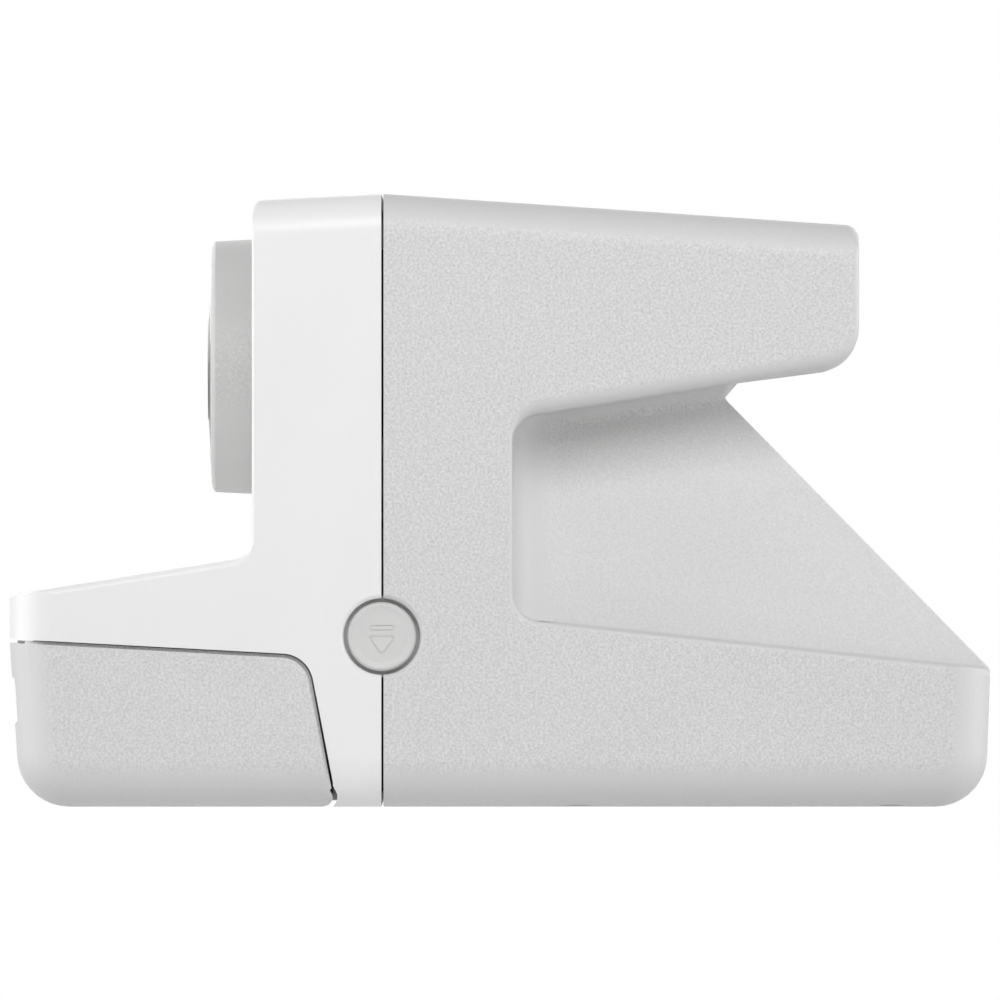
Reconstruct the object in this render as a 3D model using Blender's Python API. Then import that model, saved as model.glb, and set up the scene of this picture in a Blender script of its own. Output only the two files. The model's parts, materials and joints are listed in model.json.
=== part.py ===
"""Instant camera for square integral film, modelled as separate parts.

Frame: +Z up, the lens faces -Y, the width runs along X, and the camera stands on Z = 0.
Sizes are in millimetres, and become metres where a mesh is made.
"""

import math

import bmesh
import bpy
from mathutils import Matrix, Vector

MM = 0.001

# ---- Driving dimensions of the case ----
HALF_W = 56.1            # half of the camera's width
FRONT_Y = -75.15         # front of the film door
REAR_Y = 75.15           # rear of the base
SEAM_Y = -18.0           # plane where the front and rear covers meet
SEAM_GAP = 0.3
TOP_Z = 93.9             # highest line of the case, at the seam
WALL = 2.0
FIT = 0.3                # clearance between neighbouring parts
PANEL_Y = -38.0          # front panel that carries the lens
PANEL_TOP_Z = 92.9
CHIN_TOP_Z = 38.3        # where the chin meets the front panel
CHIN_NOSE_Z = 32.45
BLOCK_REAR_Y = 55.0      # rear of the upper block
BLOCK_REAR_Z = 89.0
BLOCK_LOW_Z = 68.0
SLOPE_TOP = (32.7, 64.1)     # sloping back panel, upper end (y, z)
SLOPE_LOW = (REAR_Y, 21.07)  # and lower end
RECESS_Y = 1.85          # front wall of the side recess
RECESS_TOP_Z = 59.6
RECESS_LOW_Z = 28.8
RECESS_FLOOR_X = 47.1    # recess floor at Z = 25, leaning inwards above it
RECESS_LEAN = 0.297
# Rounding of the side edge along each stretch of a cover's side outline.
FRONT_EDGES = (5.4, 0.6, 1.1, 7.0, 7.0, 7.6)
REAR_EDGES = (7.6, 7.0, 0.8, 0.65, 2.6, 1.0, 5.4)
# Depths below the side face where the rounding of a case edge is drawn, deepest first.
EDGE_DEPTHS = (7.6, 5.2, 3.4, 2.0, 1.1, 0.5, 0.2, 0.0)
CORNER_STEPS = 3         # facets in a corner of the side outline

# ---- Film door and its hinge ----
DOOR_FRONT_Z = 25.35     # parting line at the front
DOOR_REAR = (-29.75, 22.9)   # its corner (y, z)
DOOR_CORNER_R = 4.5
DOOR_DRAFT = 1.65        # how far the door's front leans back over its height
BAND_Z = (13.0, 19.6)    # shallow band across the front of the door
BAND_DEPTH = 0.45
FILM_SLOT = (45.5, 22.6) # half width, and height of its lower edge
HINGE_Y = -27.0
HINGE_Z = 1.45
HINGE_R = 1.35           # outside of the knuckles
HINGE_SWEEP_R = 2.1      # room in the front cover for the door's lower edge as it swings
HINGE_BORE = 0.9
HINGE_PIN_R = 0.6
KNUCKLE_X = (18.0, 26.0)
PART_GAP = 0.2           # half of the gap along the parting line
OUTSIDE = 15.0           # how far cutting shapes reach beyond the case

# ---- Optics ----
LENS_Z = 67.6
RING_R = 19.65
RING_BACK_Y = PANEL_Y - 0.05
LENS_FRONT_Y = -45.22    # crown of the lens, bezel and ring, which share one shallow dome
LENS_CROWN = 0.00229     # fall of that dome, per radius squared
RING_EDGE_R = 17.5       # where the ring's rounded front edge begins
BEZEL_R = 16.15
GLASS_R = 7.0
BARREL_R = 15.9
SHUTTER_PLATE = (42.0, 36.0)
APERTURE_R = 5.0
BLADE_PIVOT = (11.0, 56.0)

# ---- Dark chamber ----
HOOD_Z = (21.8, 80.0)
HOOD_FRONT_Y = -12.0
HOOD_HALF_W = 43.5       # at its foot
HOOD_WALL = 1.2
HOOD_DEPTH = 5.4         # under the sloping back panel
MIRROR_DEPTH = (5.0, 3.4)
MIRROR_Z = (25.0, 78.0)

# ---- Film path ----
CHAMBER_X = 45.3
CHAMBER_Y = (-22.0, 67.0)
CHAMBER_Z = (2.4, 21.4)
CHAMBER_WALL = 1.0
ROLLER_Y = -58.0
UPPER_ROLLER_Z = 27.0
LOWER_ROLLER_Z = 19.3
UPPER_ROLLER_R = 3.2
LOWER_ROLLER_R = 4.0
GEAR_MODULE = 0.4
ROLLER_TEETH = 20
IDLER_TEETH = 17
PINION_TEETH = 10
IDLER_ANGLE = math.radians(15)   # direction from roller gear to idler
PINION_ANGLE = math.radians(9)   # direction from idler to motor pinion
GEAR_X = (-51.8, -50.4)

# ---- Controls ----
RELEASE_Y = -18.1
RELEASE_Z = 26.1
RELEASE_R = 5.27
RELEASE_HOLE_R = 5.84
SHUTTER_X, SHUTTER_Z, SHUTTER_R = -33.0, 48.5, 6.2
TIMER_X, TIMER_Z, TIMER_R = 33.0, 48.5, 3.5
BACK_ROW_Z = 79.5        # height of everything on the block's rear face
POWER_X = -32.0
FLASH_KEY_X = -14.0
KEY_R = 3.2
KEY_SINK = 0.1           # how far the keys' faces lie below the surface round them
COUNTER_X = 8.0
FINDER_X, FINDER_Z = 38.0, 81.0
FLASH_X, FLASH_Z = -36.0, 81.0
SENSOR_X, SENSOR_Z = 38.0, 65.0
USB_Y, LIGHT_Y, USB_Z = 44.0, 54.0, 11.0
SCREW_X, SCREW_YS = 48.0, (12.0, 60.0)

# Colour (linear RGB), roughness and metallic value of each material.
FINISHES = {
    "white_shell": ((0.83, 0.83, 0.83), 0.35, 0.0),
    "grey_shell": ((0.62, 0.62, 0.61), 0.55, 0.0),
    "black_plastic": ((0.02, 0.02, 0.02), 0.45, 0.0),
    "button_grey": ((0.58, 0.58, 0.57), 0.5, 0.0),
    "button_red": ((0.65, 0.06, 0.03), 0.4, 0.0),
    "clear_window": ((0.55, 0.58, 0.6), 0.05, 0.0),
    "dark_window": ((0.03, 0.03, 0.04), 0.08, 0.0),
    "steel": ((0.55, 0.55, 0.56), 0.3, 1.0),
    "mirror": ((0.9, 0.9, 0.9), 0.03, 1.0),
    "circuit": ((0.03, 0.16, 0.08), 0.5, 0.0),
    "battery_wrap": ((0.1, 0.12, 0.3), 0.4, 0.0),
}


# ---- Objects, materials and Booleans ----

def finish(name):
    """The material called name, made the first time it is asked for."""
    material = bpy.data.materials.get(name)
    if material is None:
        colour, roughness, metallic = FINISHES[name]
        material = bpy.data.materials.new(name)
        material.use_nodes = True
        shader = material.node_tree.nodes["Principled BSDF"]
        shader.inputs["Base Color"].default_value = (*colour, 1.0)
        shader.inputs["Roughness"].default_value = roughness
        shader.inputs["Metallic"].default_value = metallic
    return material


def make(name, shape, material, pivot=(0.0, 0.0, 0.0)):
    """Turn a mesh in millimetres into an object whose origin lies at pivot."""
    bmesh.ops.translate(shape, verts=shape.verts, vec=-Vector(pivot))
    bmesh.ops.scale(shape, verts=shape.verts, vec=(MM, MM, MM))
    bmesh.ops.recalc_face_normals(shape, faces=shape.faces)
    mesh = bpy.data.meshes.new(name)
    shape.to_mesh(mesh)
    shape.free()
    mesh.shade_smooth()
    mesh.set_sharp_from_angle(angle=math.radians(32))
    part = bpy.data.objects.new(name, mesh)
    part.location = Vector(pivot) * MM
    if material:
        mesh.materials.append(finish(material))
    bpy.context.collection.objects.link(part)
    return part


def combine(part, operation, shape, label):
    """Cut shape out of part, join it on, or keep only what it covers."""
    guide = make(f"{part.name}_{label}", shape, None)
    guide.hide_render = True
    guide.display_type = "WIRE"
    modifier = part.modifiers.new(label, "BOOLEAN")
    modifier.operation = operation
    modifier.solver = "EXACT"
    modifier.object = guide


def cut(part, shape, label):
    combine(part, "DIFFERENCE", shape, label)


def join(part, shape, label):
    combine(part, "UNION", shape, label)


# ---- Basic shapes, all in millimetres ----

def on_axis(axis, across, up, along):
    """A point from its place in the plane square to axis, and its place along it."""
    if axis == "X":
        return (along, across, up)
    if axis == "Y":
        return (across, along, up)
    return (across, up, along)


def prism(outline, axis, low, high):
    """An outline drawn square to axis, and extruded from low to high."""
    shape = bmesh.new()
    ends = [[shape.verts.new(on_axis(axis, a, b, at)) for a, b in outline] for at in (low, high)]
    shape.faces.new(ends[0])
    shape.faces.new(reversed(ends[1]))
    count = len(outline)
    for i in range(count):
        j = (i + 1) % count
        shape.faces.new((ends[0][i], ends[0][j], ends[1][j], ends[1][i]))
    return shape


def turned(profile, axis, centre, steps=32):
    """A solid of revolution: profile holds (radius, place along axis) points."""
    shape = bmesh.new()
    rings = []
    for radius, along in profile:
        count = steps if radius > 0 else 1
        turns = [2 * math.pi * i / steps for i in range(count)]
        rings.append([
            shape.verts.new(on_axis(axis, centre[0] + radius * math.cos(t),
                                    centre[1] + radius * math.sin(t), along))
            for t in turns
        ])
    pairs = list(zip(rings, rings[1:]))
    if profile[0][0] > 0:
        pairs.append((rings[-1], rings[0]))
    for ring, following in pairs:
        for i in range(steps):
            j = (i + 1) % steps
            corners = [ring[i % len(ring)], ring[j % len(ring)],
                       following[j % len(following)], following[i % len(following)]]
            corners = list(dict.fromkeys(corners))
            if len(corners) > 2:
                shape.faces.new(corners)
    return shape


def disc(radius, low, high):
    """Profile of a plain disc or rod."""
    return [(0, low), (radius, low), (radius, high), (0, high)]


def tube(inner, outer, low, high):
    """Profile of a plain ring."""
    return [(inner, low), (outer, low), (outer, high), (inner, high)]


def box(low, high):
    (x0, y0, z0), (x1, y1, z1) = low, high
    return prism([(x0, y0), (x1, y0), (x1, y1), (x0, y1)], "Z", z0, z1)


def rounded_box(low, high, edge):
    """A box with its edges rounded."""
    shape = box(low, high)
    bmesh.ops.recalc_face_normals(shape, faces=shape.faces)
    bmesh.ops.bevel(shape, geom=shape.edges, offset=edge, segments=2, profile=0.5, affect="EDGES")
    return shape


def rounded_rectangle(centre, width, height, radius, steps=4):
    """Outline of a rectangle with round corners."""
    points = []
    for quarter, (sx, sy) in enumerate(((1, 1), (-1, 1), (-1, -1), (1, -1))):
        cx = centre[0] + sx * (width / 2 - radius)
        cy = centre[1] + sy * (height / 2 - radius)
        for i in range(steps + 1):
            turn = math.radians(90) * (quarter + i / steps)
            points.append((cx + radius * math.cos(turn), cy + radius * math.sin(turn)))
    return points


def link_outline(hub, hub_r, lobe, lobe_r, steps=10):
    """Outline of a blade: two circles and the straight sides that touch both."""
    span = Vector(lobe) - Vector(hub)
    facing = math.atan2(span.y, span.x)
    spread = math.acos((hub_r - lobe_r) / span.length)
    points = []
    for centre, radius, start, sweep in (
        (lobe, lobe_r, facing - spread, 2 * spread),
        (hub, hub_r, facing + spread, 2 * math.pi - 2 * spread),
    ):
        for i in range(steps + 1):
            turn = start + sweep * i / steps
            points.append((centre[0] + radius * math.cos(turn), centre[1] + radius * math.sin(turn)))
    return points


def gear_outline(centre, teeth, phase):
    """Gear outline whose first tooth points along phase."""
    pitch_r = GEAR_MODULE * teeth / 2
    tip_r = pitch_r + 0.8 * GEAR_MODULE
    root_r = pitch_r - 1.15 * GEAR_MODULE
    points = []
    for tooth in range(teeth):
        middle = phase + 2 * math.pi * tooth / teeth
        for share, radius in ((-0.29, root_r), (-0.09, tip_r), (0.09, tip_r), (0.29, root_r)):
            turn = middle + 2 * math.pi * share / teeth
            points.append((centre[0] + radius * math.cos(turn), centre[1] + radius * math.sin(turn)))
    return points


# ---- Case shells ----

def moved_corner(before, corner, after, inset_in, inset_out):
    """Where a corner goes when the stretches on its two sides move inwards."""
    d_in = (corner - before).normalized()
    d_out = (after - corner).normalized()
    n_in = Vector((-d_in.y, d_in.x))
    n_out = Vector((-d_out.y, d_out.x))
    start = corner + n_in * inset_in
    other = corner + n_out * inset_out
    turn = d_in.cross(d_out)
    if abs(turn) < 1e-4:
        return (start + other) / 2
    return start + d_in * ((other - start).cross(d_out) / turn)


def corner_arc(before, corner, after, radius):
    """Points of a rounded corner, from the stretch before it to the one after."""
    u = (before - corner).normalized()
    v = (after - corner).normalized()
    half = u.angle(v) / 2
    centre = corner + (u + v).normalized() * radius / math.sin(half)
    start = corner + u * radius / math.tan(half) - centre
    sweep = math.copysign(math.pi - 2 * half, u.cross(v)) * -1
    return [centre + Matrix.Rotation(sweep * i / CORNER_STEPS, 2) @ start
            for i in range(CORNER_STEPS + 1)]


def section(corners, insets):
    """Side outline of a cover, each stretch moved inwards by its own inset.

    corners holds (y, z, radius), going round with the inside on the left. The result holds
    (y, z, place): place counts the stretches, and a corner's points fall between two of them.
    A straight corner spreads its points along the stretch.
    """
    sharp = [Vector(c[:2]) for c in corners]
    last = len(sharp) - 1
    ends = []
    for at, other, inset in ((0, 1, insets[0]), (last, last - 1, insets[-1])):
        run = sharp[other] - sharp[at]
        normal = Vector((-run.y, run.x)).normalized() * (1 if at == 0 else -1)
        base = sharp[at] + normal * inset
        ends.append(base - run * ((base.x - sharp[at].x) / run.x))
    moved = [ends[0]]
    for i in range(1, last):
        moved.append(moved_corner(sharp[i - 1], sharp[i], sharp[i + 1], insets[i - 1], insets[i]))
    moved.append(ends[1])
    points = [(*moved[0], 0.0)]
    for i in range(1, last):
        turn = (sharp[i] - sharp[i - 1]).cross(sharp[i + 1] - sharp[i])
        inset = (insets[i - 1] + insets[i]) / 2
        if corners[i][2] == 0:
            points.append((*moved[i], i - 0.5))
            continue
        if abs(turn) < 1e-3:
            run = (sharp[i + 1] - sharp[i]).normalized() * corners[i][2]
            arc = [moved[i] + run * (2 * k / CORNER_STEPS - 1) for k in range(CORNER_STEPS + 1)]
        else:
            radius = corners[i][2] + math.copysign(inset, -turn)
            arc = corner_arc(moved[i - 1], moved[i], moved[i + 1], max(radius, 0.25))
        points += [(*p, i - 1 + k / CORNER_STEPS) for k, p in enumerate(arc)]
    points.append((*moved[last], last - 1.0))
    return points


def edge_columns(corners, edges, wall):
    """Sections from the flat of the case, round its side edge, to the side face."""
    radii = [max(edge - wall, 0.4) for edge in edges]
    deepest = max(edges)
    columns = []
    for depth in EDGE_DEPTHS:
        inward = depth * (1 - wall / deepest)
        insets = [wall + r - math.sqrt(r * r - max(r - inward, 0) ** 2) for r in radii]
        x = HALF_W - wall - inward
        columns.append([(x, y, z) for y, z, _ in section(corners, insets)])
    return columns


def cup(columns_for):
    """A closed shell: an outer and an inner skin, joined along the open seam."""
    shape = bmesh.new()
    rims = []
    for wall in (0.0, WALL):
        half = columns_for(wall)
        points = [[(-x, y, z) for x, y, z in column] for column in reversed(half)] + half
        columns = [[shape.verts.new(p) for p in column] for column in points]
        for a, b in zip(columns, columns[1:]):
            for i in range(len(a) - 1):
                shape.faces.new((a[i], a[i + 1], b[i + 1], b[i]))
        shape.faces.new(columns[0])
        shape.faces.new(reversed(columns[-1]))
        rims.append([c[0] for c in columns] + [c[-1] for c in reversed(columns)])
    outer, inner = rims
    for i in range(len(outer)):
        j = (i + 1) % len(outer)
        shape.faces.new((outer[i], outer[j], inner[j], inner[i]))
    return shape


def front_columns(wall):
    """Front half of the case: top, front panel, chin, front and bottom."""
    seam = SEAM_Y - SEAM_GAP / 2
    corners = [
        (seam, TOP_Z, 0), (PANEL_Y, PANEL_TOP_Z, 1.5), (PANEL_Y, CHIN_TOP_Z, 3.5),
        (FRONT_Y, CHIN_NOSE_Z, 0.8), (FRONT_Y, DOOR_FRONT_Z, 0), (FRONT_Y + DOOR_DRAFT, 0, 8.0),
        (seam, 0, 0),
    ]
    return edge_columns(corners, FRONT_EDGES, wall)


def recess_floor(z, wall):
    """Half-width of the recess floor, which leans inwards as it rises."""
    return RECESS_FLOOR_X - RECESS_LEAN * (z - 25) - wall * math.hypot(1, RECESS_LEAN)


def rear_columns(wall):
    """Rear half of the case, with the hand recess cut into each side.

    The middle sections follow the sloping back panel. The outer ones run round the recess,
    whose floor joins the two.
    """
    seam = SEAM_Y + SEAM_GAP / 2
    base = [(seam, 0, 0), (REAR_Y - 0.75, 0, 8.0)]
    block = [(BLOCK_REAR_Y, BLOCK_LOW_Z, 6.4), (BLOCK_REAR_Y, BLOCK_REAR_Z, 2.2), (seam, TOP_Z, 0)]
    run = Vector(SLOPE_TOP) - Vector(SLOPE_LOW)
    knee = Vector(SLOPE_LOW) + run.normalized() * 3.0
    slope = [(*SLOPE_LOW, 1.5), (*knee, 0.6), (*SLOPE_TOP, 1.7)]
    recess = [(*SLOPE_LOW, 1.5), (RECESS_Y, RECESS_LOW_Z, 4.6), (RECESS_Y, RECESS_TOP_Z, 4.6)]
    plain = [wall] * len(REAR_EDGES)
    middle = []
    for y, z, place in section(base + slope + block, plain):
        x = 34.0
        if 1.0 < place <= 2.0:
            x = recess_floor(z, wall) - 0.3
        elif 2.0 < place <= 4.0:
            x = recess_floor(z, wall)
        middle.append((x, y, z))
    outer = []
    for y, z, place in section(base + recess + block, plain):
        on_recess = 1.0 < place <= 4.0
        outer.append((recess_floor(z, wall) if on_recess else 36.0, y, z))
    return [middle, outer] + edge_columns(base + recess + block, REAR_EDGES, wall)


def door_region(gap):
    """Side outline of everything below the parting line, moved outwards by gap."""
    corner = Vector((DOOR_REAR[0] + gap, DOOR_REAR[1] + gap))
    rise = (DOOR_FRONT_Z - DOOR_REAR[1]) / (DOOR_REAR[0] - FRONT_Y)
    outside_y = FRONT_Y - OUTSIDE
    front = Vector((outside_y, DOOR_FRONT_Z + rise * OUTSIDE + gap))
    arc_r = HINGE_SWEEP_R if gap > 0 else HINGE_R
    arc = []
    for i in range(9):
        turn = math.radians(40 - 130 * i / 8)
        arc.append((HINGE_Y + arc_r * math.cos(turn), HINGE_Z + arc_r * math.sin(turn)))
    bend = corner_arc(front, corner, Vector(arc[0]), DOOR_CORNER_R + gap)
    return [tuple(front)] + [tuple(p) for p in bend] + arc + [(HINGE_Y, -OUTSIDE), (outside_y, -OUTSIDE)]


def knuckle_span(side, margin):
    """Where a knuckle of the front cover lies along X, widened by margin."""
    return sorted((side * (KNUCKLE_X[0] - margin), side * (KNUCKLE_X[1] + margin)))


def build_front_cover():
    cover = make("front_cover", cup(front_columns), "white_shell")
    cut(cover, prism(door_region(PART_GAP), "X", -60, 60), "door_opening")
    for side in (-1, 1):
        low, high = knuckle_span(side, 0)
        knuckle = turned(disc(HINGE_R, low, high), "X", (HINGE_Y, HINGE_Z), 20)
        join(cover, knuckle, f"knuckle_{side}")
        web = box((low + 0.1, HINGE_Y + 0.6, 0.8), (high - 0.1, HINGE_Y + 3.0, 1.9))
        join(cover, web, f"web_{side}")
    cut(cover, turned(disc(HINGE_BORE, -28, 28), "X", (HINGE_Y, HINGE_Z), 16), "hinge_bore")
    front, back = PANEL_Y - 3, PANEL_Y + WALL + 1
    cut(cover, turned(disc(BARREL_R + FIT, front, back), "Y", (0, LENS_Z), 36), "lens_hole")
    cut(cover, prism(rounded_rectangle((FLASH_X, FLASH_Z), 24, 15, 2.5), "Y", front, back), "flash_hole")
    cut(cover, prism(rounded_rectangle((FINDER_X, FINDER_Z), 16, 12, 2.5), "Y", front, back),
        "finder_hole")
    cut(cover, prism(rounded_rectangle((SENSOR_X, SENSOR_Z), 12, 6, 2.9), "Y", front, back),
        "sensor_hole")
    cut(cover, turned(disc(SHUTTER_R + FIT, front, back), "Y", (SHUTTER_X, SHUTTER_Z), 24),
        "shutter_hole")
    cut(cover, turned(disc(TIMER_R + FIT, front, back), "Y", (TIMER_X, TIMER_Z), 24), "timer_hole")
    cut(cover, release_hole(), "release_hole")


def release_hole():
    """Round opening over the seam, with a chamfered rim."""
    return turned([(0, 50), (RELEASE_HOLE_R, 50), (RELEASE_HOLE_R, HALF_W - 0.5),
                   (6.9, HALF_W + 0.5), (0, HALF_W + 0.5)], "X", (RELEASE_Y, RELEASE_Z), 28)


def build_rear_cover():
    cover = make("rear_cover", cup(rear_columns), "grey_shell")
    cut(cover, release_hole(), "release_hole")
    low, high = BLOCK_REAR_Y - 4, BLOCK_REAR_Y + 2
    cut(cover, prism(rounded_rectangle((FINDER_X, BACK_ROW_Z), 17, 12, 3), "Y", low, high),
        "eyepiece_hole")
    cut(cover, prism(rounded_rectangle((COUNTER_X, BACK_ROW_Z), 12, 8, 1.5), "Y", low, high),
        "counter_hole")
    for label, x in (("power", POWER_X), ("flash", FLASH_KEY_X)):
        cut(cover, turned(disc(KEY_R + FIT, low, high), "Y", (x, BACK_ROW_Z), 24), f"{label}_hole")
    left = (-HALF_W - 1, -HALF_W + 4)
    cut(cover, prism(rounded_rectangle((USB_Y, USB_Z), 9.2, 3.6, 1.7), "X", *left), "usb_hole")
    cut(cover, turned(disc(1.3, *left), "X", (LIGHT_Y, USB_Z), 16), "light_hole")
    for x in (-SCREW_X, SCREW_X):
        for y in SCREW_YS:
            profile = [(0, -1), (2.8, -1), (2.8, 1.1), (1.5, 1.1), (1.5, 4), (0, 4)]
            cut(cover, turned(profile, "Z", (x, y), 20), f"screw_{x:.0f}_{y:.0f}")


# ---- Film door and rollers ----

def front_band():
    """Shallow band pressed into the front of the door, on the same draft as its face."""
    lean = DOOR_DRAFT / DOOR_FRONT_Z
    rows = [(z, FRONT_Y + (DOOR_FRONT_Z - z) * lean + BAND_DEPTH) for z in BAND_Z]
    (low, y_low), (high, y_high) = rows
    outside_y = FRONT_Y - OUTSIDE
    return prism([(outside_y, low), (y_low, low), (y_high, high), (outside_y, high)], "X", -60, 60)


def build_film_door():
    door = make("film_door", cup(front_columns), "grey_shell", (0, HINGE_Y, HINGE_Z))
    combine(door, "INTERSECT", prism(door_region(-PART_GAP), "X", -60, 60), "door_side")
    join(door, turned(disc(HINGE_R, -48, 48), "X", (HINGE_Y, HINGE_Z), 20), "hinge_bead")
    cut(door, turned(disc(HINGE_BORE, -49, 49), "X", (HINGE_Y, HINGE_Z), 16), "hinge_bore")
    for side in (-1, 1):
        low, high = knuckle_span(side, FIT)
        cut(door, turned(disc(HINGE_R + FIT, low, high), "X", (HINGE_Y, HINGE_Z), 20),
            f"knuckle_room_{side}")
        cut(door, box((low, HINGE_Y, -1), (high, HINGE_Y + 4, 5)), f"web_room_{side}")
    half, low = FILM_SLOT
    cut(door, box((-half, FRONT_Y - 3, low), (half, FRONT_Y + 6, low + 8)), "film_slot")
    cut(door, front_band(), "front_band")
    pin = turned(disc(HINGE_PIN_R, -47, 47), "X", (HINGE_Y, HINGE_Z), 12)
    make("door_hinge_pin", pin, "steel")


def build_rollers():
    """Steel bracket on the door with the two rollers that squeeze the film."""
    plate_y = (ROLLER_Y - 7, ROLLER_Y + 6.5)
    frame = make("roller_frame", box((-47.7, plate_y[0], 8), (47.7, plate_y[1], 30.8)), "steel",
                 (0, HINGE_Y, HINGE_Z))
    cut(frame, box((-46.5, plate_y[0] - 1, 9.2), (46.5, plate_y[1] + 1, 32)), "inside")
    for label, z in (("upper", UPPER_ROLLER_Z), ("lower", LOWER_ROLLER_Z)):
        cut(frame, turned(disc(1.5, -50, 50), "X", (ROLLER_Y, z), 16), f"{label}_bearing")
    for name, z, radius, tip in (("upper_roller", UPPER_ROLLER_Z, UPPER_ROLLER_R, -52.3),
                                 ("lower_roller", LOWER_ROLLER_Z, LOWER_ROLLER_R, -48.5)):
        profile = [(0, tip), (1.2, tip), (1.2, -45.6), (radius, -45.6), (radius, 45.6),
                   (1.2, 45.6), (1.2, 48.5), (0, 48.5)]
        make(name, turned(profile, "X", (ROLLER_Y, z), 24), "steel", (0, ROLLER_Y, z))


def build_drive():
    """Motor, pinion, idler and roller gear, in mesh while the door is shut."""
    roller = Vector((ROLLER_Y, UPPER_ROLLER_Z))
    reach = GEAR_MODULE * (ROLLER_TEETH + IDLER_TEETH) / 2
    idler = roller + Vector((math.cos(IDLER_ANGLE), math.sin(IDLER_ANGLE))) * reach
    reach = GEAR_MODULE * (IDLER_TEETH + PINION_TEETH) / 2
    pinion = idler + Vector((math.cos(PINION_ANGLE), math.sin(PINION_ANGLE))) * reach
    half_tooth = math.pi / IDLER_TEETH
    idler_phase = IDLER_ANGLE + math.pi + half_tooth
    # The pinion has a gap where the idler's nearest tooth points at it.
    tooth = 2 * math.pi / IDLER_TEETH
    off = ((PINION_ANGLE - idler_phase) / tooth) % 1.0
    pinion_phase = PINION_ANGLE + math.pi + (off + 0.5) * 2 * math.pi / PINION_TEETH
    for name, centre, teeth, phase, bore in (
        ("roller_gear", roller, ROLLER_TEETH, IDLER_ANGLE, 1.5),
        ("idler_gear", idler, IDLER_TEETH, idler_phase, 0.9),
        ("motor_pinion", pinion, PINION_TEETH, pinion_phase, 0.8),
    ):
        gear = make(name, prism(gear_outline(centre, teeth, phase), "X", *GEAR_X), "black_plastic",
                    (0, *centre))
        cut(gear, turned(disc(bore, GEAR_X[0] - 1, GEAR_X[1] + 1), "X", centre, 12), "bore")
    make("idler_axle", turned(disc(0.6, -53.7, -49.8), "X", idler, 12), "steel")
    profile = [(0, -52.2), (0.5, -52.2), (0.5, -49.6), (4.4, -49.6), (4.4, -26), (0, -26)]
    make("drive_motor", turned(profile, "X", pinion, 24), "steel")


def build_film_chamber():
    """Tunnel that holds the film pack, open at the front, with the exposure window on top."""
    (y0, y1), (z0, z1), wall = CHAMBER_Y, CHAMBER_Z, CHAMBER_WALL
    chamber = make("film_chamber", box((-CHAMBER_X, y0, z0), (CHAMBER_X, y1, z1)), "black_plastic")
    for x in (-SCREW_X, SCREW_X):
        for y in SCREW_YS:
            join(chamber, turned(tube(1.5, 3.0, z0 + 1.4, 11), "Z", (x, y), 16), f"lug_{x:.0f}_{y:.0f}")
    inner_x = CHAMBER_X - wall
    cut(chamber, box((-inner_x, y0 - 1, z0 + wall), (inner_x, y1 - wall, z1 - wall)), "inside")
    cut(chamber, box((-39.5, -14, z1 - 2), (39.5, 64, z1 + 1)), "exposure_window")
    for x in (-SCREW_X, SCREW_X):
        for y in SCREW_YS:
            screw = [(0, 0.2), (2.4, 0.2), (2.4, 1.0), (1.2, 1.0), (1.2, 10), (0, 10)]
            side = "right" if x > 0 else "left"
            place = "front" if y == SCREW_YS[0] else "rear"
            make(f"base_screw_{place}_{side}", turned(screw, "Z", (x, y), 16), "steel")
    make("pick_arm", rounded_box((46.1, 20, 13.5), (47.1, 66, 17.5), 0.3), "steel")


# ---- Optics ----

def tapered(outline, half_width):
    """An outline in (y, z), extruded both ways along X to half_width(z)."""
    shape = prism(outline, "X", -1, 1)
    for vert in shape.verts:
        vert.co.x *= half_width(vert.co.z)
    return shape


def slope_offset(depth, z):
    """Y of the plane that lies depth inside the sloping back panel, at height z."""
    top, low = Vector(SLOPE_TOP), Vector(SLOPE_LOW)
    run = (low - top).normalized()
    point = top + Vector((run.y, -run.x)) * depth
    return point.x + run.x * (z - point.y) / run.y


def chamber_width(z):
    """Half width of the dark chamber, whose sides lean inwards with the recess floor."""
    return HOOD_HALF_W - RECESS_LEAN * (z - HOOD_Z[0])


def build_dark_chamber():
    """Light-tight hood between lens and film, and the mirror that folds the light down."""
    (low, top), front, wall, depth = HOOD_Z, HOOD_FRONT_Y, HOOD_WALL, HOOD_DEPTH
    outline = [(front, low), (slope_offset(depth, low), low), (slope_offset(depth, top), top),
               (front, top)]
    hood = make("dark_chamber", tapered(outline, chamber_width), "black_plastic")
    inside = [(front + wall, low - 3), (slope_offset(depth - 3, low - 3), low - 3),
              (slope_offset(depth - 3, top - wall), top - wall), (front + wall, top - wall)]
    cut(hood, tapered(inside, lambda z: chamber_width(z) - wall), "inside")
    cut(hood, turned(disc(9, front - 2, front + 3), "Y", (0, LENS_Z), 32), "lens_hole")
    inner, outer = MIRROR_DEPTH
    foot, head = MIRROR_Z
    mirror = [(slope_offset(inner, foot), foot), (slope_offset(outer, foot), foot),
              (slope_offset(outer, head), head), (slope_offset(inner, head), head)]
    make("mirror", tapered(mirror, lambda z: chamber_width(z) - 1.5), "mirror")


def dome(radius):
    """Y of the shallow dome that the lens, bezel and ring share."""
    return LENS_FRONT_Y + LENS_CROWN * radius ** 2


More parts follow.
